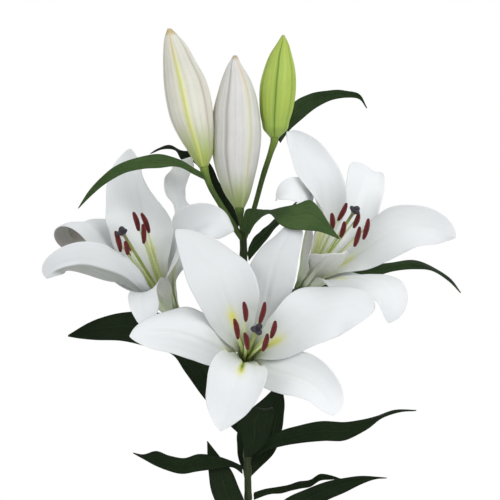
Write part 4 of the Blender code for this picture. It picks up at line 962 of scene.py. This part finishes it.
def stigma_paint():
    p = Paint("stigma_skin", 0.45, 0.2, Coat_Weight=0.06, Coat_Roughness=0.35)
    tone = p.noise(420.0, 4.0, 0.6)
    c = p.mix(p.step(tone, 0.35, 0.7), (0.016, 0.013, 0.020), (0.055, 0.045, 0.062))
    c = p.mix(p.m("MULTIPLY", p.step(p.cells(1900.0), 0.45, 0.9), 0.25), c, (0.16, 0.14, 0.17))
    rough = p.m("MULTIPLY_ADD", p.noise(600.0), 0.3, 0.3)
    return p.done(c, rough, [(p.cells(1900.0), 0.7, 0.0003), (tone, 0.5, 0.0005)])


def glaze_paint():
    """Milk-white glaze: pooled a little darker in the throwing lines, iron specks, thin at the lip."""
    p = Paint("vase_glaze", 0.14, 0.5, Coat_Weight=0.5, Coat_Roughness=0.06)
    sep = p.new("ShaderNodeSeparateXYZ")
    p.link(p.co, sep.inputs[0])
    z = sep.outputs[2]
    tone = p.noise(9.0, 4.0, 0.55)
    c = p.mix(p.step(tone, 0.3, 0.72), (0.70, 0.70, 0.665), (0.60, 0.615, 0.59))
    rings = p.noise(1.0, 3.0, 0.6, p.place(p.m("MULTIPLY", z, 260.0), p.m("MULTIPLY", p.u, 0.6)))
    c = p.mix(p.m("MULTIPLY", p.step(rings, 0.45, 0.7), 0.30), c, (0.56, 0.575, 0.54))
    specks = p.m("SUBTRACT", 1.0, p.step(p.cells(210.0), 0.05, 0.13))
    c = p.mix(p.m("MULTIPLY", specks, 0.55), c, (0.17, 0.12, 0.07))
    dust = p.m("SUBTRACT", 1.0, p.step(p.cells(620.0), 0.05, 0.16))
    c = p.mix(p.m("MULTIPLY", dust, 0.25), c, (0.28, 0.22, 0.15))
    lip = p.step(z, VASE_H - 0.0022, VASE_H)
    c = p.mix(p.m("MULTIPLY", lip, 0.55), c, (0.46, 0.38, 0.27))
    foot = p.m("SUBTRACT", 1.0, p.step(p.m("ADD", z, p.m("MULTIPLY", tone, 0.004)), 0.0045, 0.0065))
    c = p.mix(foot, c, (0.52, 0.43, 0.32))
    rough = p.m("ADD", p.m("MULTIPLY_ADD", p.noise(60.0, 3.0), 0.10, 0.10), p.m("MULTIPLY", foot, 0.5))
    return p.done(c, rough, [(rings, 0.20, 0.0010), (p.noise(35.0, 3.0), 0.12, 0.0015)])


# ---------------------------------------------------------------- tepals
FINE_S = 1 - (1 - np.linspace(0, 1, 85)) ** 1.25
FINE_X = np.linspace(-1, 1, 37)
EVEN_S = np.linspace(0, 1, 161)

RAW, (GRIDS, _) = sheets()


def across(values, knots, x):
    """Smooth curves over the second axis."""
    return np.swapaxes(resample(knots, np.swapaxes(values, 0, 1), x), 0, 1)


def tepal_middle(k):
    p, f = TEPALS[k], FLOWERS[k.rsplit("_", 1)[0]]
    off = GRIDS[k] - resample(EVEN_S, tepal(f, p, EVEN_S, X_GRID), S_GRID)
    return tepal(f, p, FINE_S, FINE_X) + across(resample(S_GRID, off, FINE_S), X_GRID, FINE_X)


def half_width(P):
    return np.linalg.norm(np.diff(P, axis=1), axis=2).sum(1) / 2


def turned(P, at, axis, angle):
    """Points turned about an axis through one of them."""
    axis = unit(axis)
    c, s = math.cos(angle), math.sin(angle)
    q = P - at
    return at + q * c + np.cross(axis, q) * s + (q @ axis)[..., None] * axis * (1 - c)


def curled(P, s, s0, s1, degrees):
    """Rolls the end of a blade about its own breadth, a little more from row to row."""
    mid = P.shape[1] // 2
    P = P.copy()
    share = ease(s, s0, s1)
    for i in range(1, len(s) - 1):
        step = share[i] - share[i - 1]
        if step > 1e-6:
            P[i:] = turned(P[i:], P[i, mid].copy(), P[i, mid + 4] - P[i, mid - 4], math.radians(degrees) * step)
    return P


def twisted(P, s, s0, s1, degrees):
    """Turns a blade's rows about its middle line."""
    mid = P.shape[1] // 2
    line = P[:, mid].copy()
    along = np.gradient(line, axis=0)
    share = ease(s, s0, s1)
    return np.stack([turned(P[i], line[i], along[i], math.radians(degrees) * share[i]) for i in range(len(s))])


def narrowed(P, s, x, cuts):
    """Draws a margin in towards the middle line: (side, middle, width, share) of each cut."""
    out = P.copy()
    for i in range(len(s)):
        k = [1.0, 1.0]
        for side, c, w, share in cuts:
            k[side] -= share * math.exp(-(((s[i] - c) / w) ** 2))
        xe = np.where(x < 0, x * max(k[0], 0.12), x * max(k[1], 0.12))
        out[i] = resample(x, P[i], xe)
    return out


def swayed(P, s, c, w, shift):
    """Carries a stretch of a blade sideways, in its own breadth."""
    mid = P.shape[1] // 2
    d = unit(P[:, mid + 2] - P[:, mid - 2])
    return P + (d * (shift * bell(s, c, w))[:, None])[:, None]


def raised(P, s, s0, s1, height, right=0.0):
    """Lifts the outer stretch of a blade."""
    return P + (ease(s, s0, s1)[:, None] * np.array([right, 0.0, height]))[:, None]


SHAPED = {
    "left_1": lambda P, s, x: narrowed(swayed(P, s, 0.745, 0.06, -0.0032), s, x, [(0, 0.665, 0.06, 0.5), (1, 0.665, 0.06, 0.6), (1, 0.75, 0.05, 0.2), (0, 0.85, 0.05, 0.5)]),
    "left_3": lambda P, s, x: raised(narrowed(curled(twisted(P, s, 0.35, 0.75, 50), s, 0.6, 0.95, -120), s, x, [(0, 0.85, 0.2, 0.3), (1, 0.85, 0.2, 0.3)]), s, 0.25, 0.65, 0.0105),
    "left_5": lambda P, s, x: swayed(narrowed(P, s, x, [(1, 0.85, 0.35, 0.45)]), s, 1.0, 0.35, -0.010),
    "right_5": lambda P, s, x: narrowed(twisted(curled(P, s, 0.5, 0.95, 20), s, 0.15, 0.6, 38), s, x, [(1, 0.62, 0.25, 0.45)]),
}


SHADED_LIP = (0.80, -0.72)  # where the turned-up margin of the lower left tepal begins, and the grey band of painted shade on it: x = 0.80 s - 0.72


def tepal_piece(k, seed, mats):
    P = tepal_middle(k)
    if k in SHAPED:
        P = SHAPED[k](P, FINE_S, FINE_X)
    inner = TEPALS[k]["whorl"] == "inner"
    s, x = FINE_S[:, None], FINE_X[None]
    N = -grid_normals(P)
    y = half_width(P)[:, None] * x
    tip = 1 - ease(s, 0.80, 0.99)
    bend = -0.00045 * bell(y, 0, 0.0014) * ease(s, 0.03, 0.12) * tip * (1 + 1.4 * (1 - ease(s, 0.25, 0.45)))
    bend = bend + 0.00035 * (bell(y, 0.0034, 0.002) + bell(y, -0.0034, 0.002)) * (1 - ease(s, 0.3, 0.7)) * ease(s, 0.05, 0.15)
    for side in (0, 1):
        w = np.where(x > 0, 1.0, 0.0) if side else np.where(x <= 0, 1.0, 0.0)
        bend = bend + w * 0.0011 * np.abs(x) ** 3.2 * wave(s, seed * 2 + side, 5, 2.2) * ease(s, 0.30, 0.5) * (1 - 0.6 * ease(s, 0.9, 1.0))
    bend = bend + 0.00007 * np.cos(x * math.pi * 6 + seed) * ease(s, 0.2, 0.4) * (1 - ease(s, 0.6, 0.95)) * (1 - np.abs(x) ** 4)
    bend = bend + 0.0005 * wave(s + 0.17 * x, seed * 3 + 1, 4, 1.0) * ease(s, 0.3, 0.6)
    if k == "left_4":
        bend = bend - 0.0013 * bell(x - SHADED_LIP[0] * s - SHADED_LIP[1], 0, 0.06) * ease(s, 0.12, 0.25) * (1 - ease(s, 0.88, 0.98))
    P = P + N * bend[..., None]
    N = -grid_normals(P)
    half = (0.00020 + 0.00028 * (1 - np.abs(x) ** 2)) * (1 - 0.45 * ease(s, 0.7, 1.0)) + 0.0002 * (1 - ease(s, 0.0, 0.15)) * (1 - np.abs(x) ** 4)
    keel = (0.0008 if inner else 0.0005) * bell(y, 0, 0.0015) * (1 - ease(s, 0.75, 1.0)) * ease(s, 0.0, 0.1)
    body = Body()
    shell(body, P, N, half, half + keel, FINE_S, FINE_X, (0, 1))
    body.make("tepal_" + k, mats, [k])


WHITE = np.array([0.77, 0.79, 0.80])
# How far up from the foot a tepal's yellow halo and dark furrow reach, and how strong they are.
MARKS = {"inner": (0.42, 0.30, 0.85, 0.9, 0.22, 0.08, 0), "outer": (0.30, 0.16, 0.45, 0.5, 0.22, 0.08, 0),
         "front_1": (0.44, 0.30, 0.85, 0.9, 0.22, 0.08, 0), "front_3": (0.46, 0.31, 0.9, 0.9, 0.19, 0.07, 0), "front_5": (0.62, 0.58, 1.0, 1.0, 0.13, 0.085, 0),
         "front_4": (0.36, 0.2, 0.5, 0.4, 0.22, 0.08, 0), "left_2": (0.44, 0.38, 1.0, 0.95, 0.16, 0.06, 0.16), "right_3": (0.42, 0.16, 0.6, 0.3, 0.42, 0.06, 0),
         "right_1": (0.37, 0.22, 0.55, 0.5, 0.22, 0.08, 0), "right_5": (0.5, 0.2, 0.8, 0.3, 0.22, 0.08, 0), "right_6": (0.42, 0.2, 0.6, 0.4, 0.22, 0.08, 0)}
# Painted light and shade: how much lighter or darker each tepal's inner face is painted, beside the rest, for the light
# that falls on it.
PAINTED_LIGHT_TONES = {"front_1": 0.94, "front_2": 0.87, "front_3": 0.90, "front_4": 1.05, "front_5": 1.0, "front_6": 1.05,
         "left_1": 0.94, "left_2": 1.10, "left_3": 0.92, "left_4": 0.94, "left_5": 1.10, "left_6": 0.92,
         "right_1": 0.97, "right_2": 1.07, "right_3": 0.98, "right_4": 1.08, "right_5": 1.0, "right_6": 0.99}
# Outer faces: greys that are painted shade, darker where a tepal's underside lies deeper in shadow, with the green of
# the foot and keel.
BACK_SHADES = {"inner": ((0.56, 0.57, 0.56), (0.42, 0.47, 0.35)), "outer": ((0.56, 0.57, 0.56), (0.38, 0.43, 0.32)),
         "left_3": ((0.40, 0.41, 0.395), (0.38, 0.43, 0.32)), "left_5": ((0.60, 0.61, 0.585), (0.46, 0.50, 0.34)),
         "right_5": ((0.70, 0.71, 0.685), (0.62, 0.65, 0.50), 0.25), "right_3": ((0.66, 0.67, 0.64), (0.52, 0.57, 0.42)), "right_4": ((0.66, 0.67, 0.64), (0.50, 0.56, 0.38)), "right_6": ((0.58, 0.59, 0.57), (0.50, 0.55, 0.40))}
shaded_back_paints = {k: petal_back("tepal_back_" + k, *v) for k, v in BACK_SHADES.items()}
for i, k in enumerate(sorted(TEPALS)):
    kind = TEPALS[k]["whorl"]
    face = petal_face("tepal_face_" + k, list(WHITE * PAINTED_LIGHT_TONES[k]), MARKS.get(k, MARKS[kind]))
    back = shaded_back_paints.get(k, shaded_back_paints[kind])
    # the lower left tepal's back is painted as a face, with a grey band of painted shade along its turned-up margin
    if k == "left_4":
        back = petal_face("tepal_back_left_4", list(WHITE * 0.94), (0.2, 0.1, 0.1, 0.1, 0.2, 0.08, 0), SHADED_LIP)
    tepal_piece(k, i + 1, (face, back))

# ---------------------------------------------------------------- leaves
LEAF_FINE_S = np.linspace(0, 1, 97)
LEAF_FINE_X = np.linspace(-1, 1, 23)


def leaf_piece(k, seed, mats):
    knots = np.linspace(0, 1, LEAF_S)
    fine = leaf(LEAVES[k], LEAF_FINE_S, LEAF_FINE_X, 0.16)
    at = resample(LEAF_FINE_S, leaf(LEAVES[k], LEAF_FINE_S, LEAF_X, 0.16), knots)
    P = fine + across(resample(knots, GRIDS[k] - at, LEAF_FINE_S), LEAF_X, LEAF_FINE_X)
    N = -grid_normals(P)
    if N[..., 1].mean() > 0:
        P = P[:, ::-1]
        N = -grid_normals(P)
    s, x = LEAF_FINE_S[:, None], LEAF_FINE_X[None]
    y = half_width(P)[:, None] * x
    bend = -0.0004 * bell(y, 0, 0.0010) * (1 - ease(s, 0.8, 1.0))
    bend = bend + 0.00010 * np.cos(x * math.pi * 7) * ease(s, 0.05, 0.2) * (1 - ease(s, 0.8, 1.0))
    for side in (0, 1):
        w = np.where(x > 0, 1.0, 0.0) if side else np.where(x <= 0, 1.0, 0.0)
        bend = bend + w * 0.0006 * np.abs(x) ** 2.5 * wave(s, seed * 5 + side, 5, 1.8) * ease(s, 0.1, 0.3) * (1 - ease(s, 0.85, 1.0))
    P = P + N * bend[..., None]
    N = -grid_normals(P)
    half = (0.00014 + 0.00024 * (1 - np.abs(x) ** 2)) * (1 - 0.4 * ease(s, 0.8, 1.0))
    keel = 0.0007 * bell(y, 0, 0.0011) * (1 - ease(s, 0.6, 0.97))
    body = Body()
    shell(body, P, N, half, half + keel, LEAF_FINE_S, LEAF_FINE_X, (0, 1))
    body.make("blade_" + k, mats, [k])


# Lit and shaded copies of one leaf material: painted light, the upper leaves lighter and the leaves behind and below
# darker, for the light that falls on them.
LEAF_SHADE_SETS = {
    "bright": (leaf_paint("leaf_bright_face", (0.020, 0.052, 0.009), (0.058, 0.112, 0.028), (0.098, 0.158, 0.050), 0.20),
               leaf_paint("leaf_bright_back", (0.045, 0.080, 0.030), (0.075, 0.120, 0.050), (0.115, 0.165, 0.075), 0.18, 0.48)),
    "mid": (leaf_paint("leaf_mid_face", (0.010, 0.028, 0.006), (0.022, 0.049, 0.011), (0.043, 0.078, 0.024), 0.14),
            leaf_paint("leaf_mid_back", (0.022, 0.045, 0.018), (0.040, 0.070, 0.030), (0.065, 0.100, 0.045), 0.15, 0.48)),
    "dark": (leaf_paint("leaf_dark_face", (0.0042, 0.0105, 0.0030), (0.0105, 0.0215, 0.0060), (0.022, 0.039, 0.013), 0.10),
             leaf_paint("leaf_dark_back", (0.013, 0.026, 0.010), (0.024, 0.043, 0.017), (0.042, 0.066, 0.028), 0.12, 0.48)),
}
# which leaves take the lighter painted light; the rest stay in the darkest painted shade
LEAF_PAINTED_LIGHT = {"leaf_01": "bright", "leaf_05": "bright", "leaf_06": "mid", "leaf_03": "mid", "leaf_02": "dark", "leaf_07": "mid"}
for i, k in enumerate(sorted(LEAVES)):
    leaf_piece(k, i + 40, LEAF_SHADE_SETS[LEAF_PAINTED_LIGHT.get(k, "dark")])

# ---------------------------------------------------------------- buds
BUD_LOOK = {
    "bud_left": (0.722, bud_paint("bud_left_skin", (0.72, 0.71, 0.62), ((0.36, 0.46, 0.10), (0.62, 1.0)), (0.60, 0.55, 0.49), ((0.50, 0.40, 0.20), (0.0, 0.05)), (0.44, 0.38, 0.32), 0.722, ((0.70, 0.74, 0.16), 0.75), (0.72, 0.56, 0.26))),
    "bud_centre": (0.838, bud_paint("bud_centre_skin", (0.71, 0.70, 0.68), ((0.34, 0.43, 0.14), (0.70, 1.02)), (0.58, 0.55, 0.53), ((0.46, 0.36, 0.28), (0.0, 0.04)), (0.36, 0.34, 0.30), 0.838, ((0.70, 0.70, 0.42), 0.55), (0.72, 0.50, 0.24))),
    "bud_right": (0.736, bud_paint("bud_right_skin", (0.42, 0.54, 0.10), ((0.36, 0.50, 0.10), (0.7, 1.0)), (0.32, 0.46, 0.07), ((0.40, 0.42, 0.14), (0.0, 0.06)), (0.22, 0.34, 0.04), 0.736, ((0.20, 0.33, 0.04), 0.7), (0.24, 0.34, 0.05), True)),
}


FULL = {"bud_right": 0.20, "bud_left": 0.08}  # how much rounder the foot is


def bud_piece(k):
    turn, mat = BUD_LOOK[k]
    n, sides = 96, 84
    mid, t, half, back, r, al = bud_rings(k, sides, n)
    s = np.linspace(0, 1, n)[:, None]
    d = al[None] - turn * 2 * math.pi
    third = (1 + np.cos(3 * d)) / 2
    on = ease(s, 0.0, 0.10) * (1 - ease(s, 0.90, 1.0))
    near = np.abs((3 * d / (2 * math.pi) + 0.5) % 1 - 0.5) * 2 * math.pi / 3  # angle from the nearest keel
    f = 1 + on * (0.030 * (third - 0.5) + 0.030 * bell(near, 0, 0.06) - 0.028 * bell(near, 0.17, 0.08) - 0.055 * bell(near, math.pi / 3, 0.07)
                  + 0.006 * np.cos(7 * 3 * d)) + FULL.get(k, 0) * bell(s, 0.93, 0.055)
    rings = mid[:, None] + (np.cos(al)[None, :, None] * half[:, None] + np.sin(al)[None, :, None] * back[:, None] * r[:, None, None]) * f[..., None]
    body = Body()
    tube(body, rings, 0)
    body.make("closed_" + k, [mat], [k])


for k in BUDS:
    bud_piece(k)

# ---------------------------------------------------------------- stem and stalks
SCARS = [866 - 0, 552, 540, 497, 474, 470, 457, 454, 432, 316, 254, 232]


def stalk_piece(k, mat):
    pts = np.array([np.append(front(*q[:3]), q[3] * 0.001) for q in STALKS[k]])
    if k in FLOWERS:
        f = FLOWERS[k]
        ends = [np.append(f.o - f.a * d, r) for d, r in ((0.022, 0.0026), (0.012, 0.0034), (0.005, 0.0058), (0.0, RECEPTACLE_R))]
        pts = np.concatenate([pts, ends])
    if k in BUDS:
        mid, _, half, _, _, _ = bud_rings(k, 8, 96)
        foot = [np.append(mid[q], np.linalg.norm(half[q]) * w) for q, w in ((-1, 0.93), (-3, 0.84), (-7, 0.6))]
        pts = np.concatenate([pts, foot])
    n = 190 if k == "main" else 64
    p = through(pts, n)
    p[-1] = pts[-1]
    path, r = p[:, :3], p[:, 3].copy()
    sides = 28
    a = np.arange(sides) * 2 * math.pi / sides
    ridge = 0.018 * np.cos(7 * a)[None] * np.ones((n, 1))
    if k == "main":
        for v in SCARS:
            z = ELEV_Z + (MID - v) * UNIT
            r = r + 0.00055 * bell(path[:, 2], z, 0.0022) - 0.0002 * bell(path[:, 2], z - 0.0035, 0.0012)
        r = r * (1 + 0.03 * wave(np.linspace(0, 1, n), 3.3, 6, 4.0))
    else:
        r = r * (1 + 0.03 * wave(np.linspace(0, 1, n), 5.1, 4, 1.5) * (1 - ease(np.linspace(0, 1, n), 0.7, 1)))
    t, u, b = ring_frames(path)
    ring = (np.cos(a)[None, :, None] * u[:, None] + np.sin(a)[None, :, None] * b[:, None]) * (r[:, None] * (1 + ridge))[..., None]
    body = Body()
    tube(body, path[:, None] + ring, 0)
    body.make("stalk_" + k, [mat], ["stem"] if k == "main" else [])


STEM_DARK = stem_paint("stem_skin", (0.015, 0.026, 0.006), (0.030, 0.047, 0.012))
STEM_LIGHT = stem_paint("stalk_skin", (0.038, 0.072, 0.015), (0.072, 0.120, 0.028))
STEM_BUD = stem_paint("bud_stalk_skin", (0.038, 0.072, 0.015), (0.072, 0.120, 0.028), (0.23, 0.33, 0.055))
for k in STALKS:
    stalk_piece(k, STEM_DARK if k == "main" else STEM_BUD if k in BUDS else STEM_LIGHT)

# ---------------------------------------------------------------- stamens and pistils
FILAMENT, ANTHER_SKIN, STYLE_SKIN, STIGMA_SKIN = filament_paint(), anther_paint(), style_paint(), stigma_paint()


def stamen_piece(name, i):
    path, p1, p2, off = stamen_path(name, i, 34)
    t = np.linspace(0, 1, 34)
    body = Body()
    tube(body, tube_rings(path, 0.00062 + 0.00085 * (1 - t) ** 0.8, 12), 0)
    n, sides = 34, 32
    q = np.linspace(0, 1, n)
    bow = unit(np.cross(p2 - p1, np.array([0.0, 1.0, 0.0]))) * 0.0006
    line = p1 + (p2 - p1) * q[:, None] + bow * np.sin(np.pi * q)[:, None]
    r = 0.00212 * np.sin(np.pi * (0.025 + 0.95 * q)) ** 0.42
    tt, u, b = ring_frames(line)
    a = np.arange(sides) * 2 * math.pi / sides
    groove = 0.30 * (bell(a, math.pi, 0.30) + bell(a, 0, 0.30) + bell(a, 2 * math.pi, 0.30)) * ease(q, 0.02, 0.14)[:, None] * (1 - ease(q, 0.86, 0.98))[:, None]
    lump = 0.035 * np.sin(3 * a + 9 * q[:, None]) * np.sin(q[:, None] * 17 + i) + 0.03 * np.cos(5 * a + i)[None] * np.sin(11 * q + i)[:, None]
    shape = r[:, None] * (1 - groove + lump)
    flat = np.cos(a)[None, :, None] * 0.86 * u[:, None] + np.sin(a)[None, :, None] * b[:, None]
    tube(body, line[:, None] + flat * shape[..., None], 1)
    body.make(f"stamen_{name}_{i + 1}", [FILAMENT, ANTHER_SKIN], [f"{name}_stamen_{i + 1}"])


def pistil_piece(name):
    n, sides = 70, 30
    path, r = pistil_path(name, n)
    s = np.linspace(0, 1, n)
    t, u, b = ring_frames(path)
    a = np.arange(sides) * 2 * math.pi / sides
    ovary = 0.10 * np.cos(6 * a)[None] * ((1 - ease(s, 0.18, 0.28)) * ease(s, 0.0, 0.04))[:, None]
    body = Body()
    cut = int(n * 0.955)
    tube(body, (path[:, None] + (np.cos(a)[None, :, None] * u[:, None] + np.sin(a)[None, :, None] * b[:, None]) * (r[:, None] * (1 + ovary))[..., None])[:cut], 0)
    # three swollen lobes, parted by furrows that meet in the middle
    base, ax = path[cut - 2], t[-1]
    up = np.linalg.norm(path[-1] - base)
    rr = np.array([0.0011, 0.0019, 0.0030, 0.0039, 0.0043, 0.0042, 0.0037, 0.0028, 0.0018, 0.0008])
    hh = np.array([0.0, 0.0008, 0.0016, 0.0023, 0.0031, 0.0038, 0.0043, 0.0044, 0.0040, 0.0035]) * up / 0.0042
    lobe = 1 + np.outer(ease(rr, 0.0012, 0.003), 0.20 * np.cos(3 * a + 0.6)) - 0.10 * np.outer(ease(rr, 0.002, 0.004), bell((3 * a + 0.6 - math.pi) % (2 * math.pi), 0, 0.5) + bell((3 * a + 0.6 - math.pi) % (2 * math.pi), 2 * math.pi, 0.5))
    dip = np.where(np.arange(10)[:, None] >= 5, 0.0008 * ((1 - np.cos(3 * a + 0.6)) / 2)[None], 0.0)
    rings = base + ax * (hh[:, None] - dip)[..., None] + (np.cos(a)[None, :, None] * u[-1] + np.sin(a)[None, :, None] * b[-1]) * (rr[:, None] * lobe)[..., None]
    fine = resample(np.arange(10.0), rings, np.linspace(0, 9, 28))
    tube(body, fine, 1)
    body.make("pistil_" + name, [STYLE_SKIN, STIGMA_SKIN], [name + "_pistil"])


for name in FLOWERS:
    for i in range(6):
        stamen_piece(name, i)
    pistil_piece(name)

# ---------------------------------------------------------------- vase
outer, inner = vase_profile()
side = np.array(outer[1:-1])
zz = np.linspace(side[0, 1], side[-1, 1], 90)
rr = curve(side[:, 1], side[:, 0], zz) + 0.00012 * wave(zz * 4, 2.2, 6, 9.0)
edge = VASE_LIP_R - VASE_WALL / 2
arc = np.linspace(0, math.pi, 11)
lip = [(edge + VASE_WALL / 2 * math.cos(q), VASE_H - 0.002 + 0.002 * math.sin(q)) for q in arc]
keep = zz > VASE_FLOOR + 0.006
profile = [(0.004, 0.0016), (VASE_FOOT_R - 0.0085, 0.0016), (VASE_FOOT_R - 0.0068, 0.0012), (VASE_FOOT_R - 0.006, 0.0003), (VASE_FOOT_R - 0.0052, 0.0),
           (VASE_FOOT_R - 0.0026, 0.0), (VASE_FOOT_R - 0.0010, 0.0005)]
profile += list(zip(rr, zz))[:-1] + lip + list(zip((rr - VASE_WALL)[keep][::-1], zz[keep][::-1]))[1:]
profile += [(VASE_FOOT_R - 0.0018, VASE_FLOOR + 0.0035), (VASE_FOOT_R - 0.004, VASE_FLOOR + 0.0012), (VASE_FOOT_R - 0.008, VASE_FLOOR), (0.004, VASE_FLOOR)]
profile = np.array(profile)
turn = np.arange(120) * 2 * math.pi / 120
rings = np.stack([profile[:, :1] * np.cos(turn), profile[:, :1] * np.sin(turn), np.repeat(profile[:, 1:], 120, 1)], -1)
body = Body()
tube(body, rings, 0)
body.make("glazed_vase", [glaze_paint()], ["vase"])

# ---------------------------------------------------------------- floor, lights, camera
mesh = bpy.data.meshes.new("floor")
g = 2.3
mesh.from_pydata([(-g, -g, 0), (g, -g, 0), (g, g, 0), (-g, g, 0)], [], [(0, 1, 2, 3)])
floor = bpy.data.objects.new("floor", mesh)
bpy.context.scene.collection.objects.link(floor)
paint = Paint("floor_plain", 0.9, 0.1)
mesh.materials.append(paint.done(paint.mix(paint.noise(1.5), (0.84, 0.84, 0.835), (0.87, 0.87, 0.87))))
floor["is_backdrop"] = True

world = bpy.data.worlds.new("studio")
bpy.context.scene.world = world
world.use_nodes = True
nt = world.node_tree
bg = nt.nodes["Background"]
white = nt.nodes.new("ShaderNodeBackground")
white.inputs["Color"].default_value = (1, 1, 1, 1)
white.inputs["Strength"].default_value = 1.0
path = nt.nodes.new("ShaderNodeLightPath")
mix = nt.nodes.new("ShaderNodeMixShader")
nt.links.new(path.outputs["Is Camera Ray"], mix.inputs[0])
nt.links.new(bg.outputs[0], mix.inputs[1])
nt.links.new(white.outputs[0], mix.inputs[2])
nt.links.new(mix.outputs[0], nt.nodes["World Output"].inputs["Surface"])
coord = nt.nodes.new("ShaderNodeTexCoord")
sep = nt.nodes.new("ShaderNodeSeparateXYZ")
nt.links.new(coord.outputs["Generated"], sep.inputs[0])
grade = nt.nodes.new("ShaderNodeMapRange")
grade.inputs["From Min"].default_value = -0.6
grade.inputs["From Max"].default_value = 0.8
grade.inputs["To Min"].default_value = 0.30
grade.inputs["To Max"].default_value = 0.78
nt.links.new(sep.outputs[2], grade.inputs["Value"])
nt.links.new(grade.outputs[0], bg.inputs["Strength"])
bg.inputs["Color"].default_value = (0.97, 0.985, 1.0, 1)


def lamp(name, where, size, power, colour=(1, 1, 1)):
    light = bpy.data.lights.new(name, "AREA")
    light.size = size
    light.energy = power
    light.color = colour
    ob = bpy.data.objects.new(name, light)
    ob.location = where
    to = np.array([0, 0, 0.48]) - np.array(where)
    ob.rotation_mode = "QUATERNION"


    ob.rotation_quaternion = Vector(to).to_track_quat("-Z", "Y")
    bpy.context.scene.collection.objects.link(ob)


lamp("key", (1.5, -1.7, 1.5), 1.4, 25)
lamp("fill", (-1.6, -1.4, 1.0), 1.4, 8.5)
lamp("top", (0.2, 0.3, 2.2), 1.2, 4)

camera = bpy.data.cameras.new("camera")
camera.lens = 180
camera.sensor_width = 36
camera.clip_end = 30
eye = bpy.data.objects.new("camera", camera)
eye.location = (PLANT_X, PLANT_Y - VIEW, ELEV_Z)
eye.rotation_euler = (math.pi / 2, 0, 0)
bpy.context.scene.collection.objects.link(eye)
bpy.context.scene.camera = eye
bpy.context.scene.view_settings.view_transform = "Standard"

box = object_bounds()
{"cad": [list(q) for q in CAD_BOX], "visual": [list(q) for q in box]}
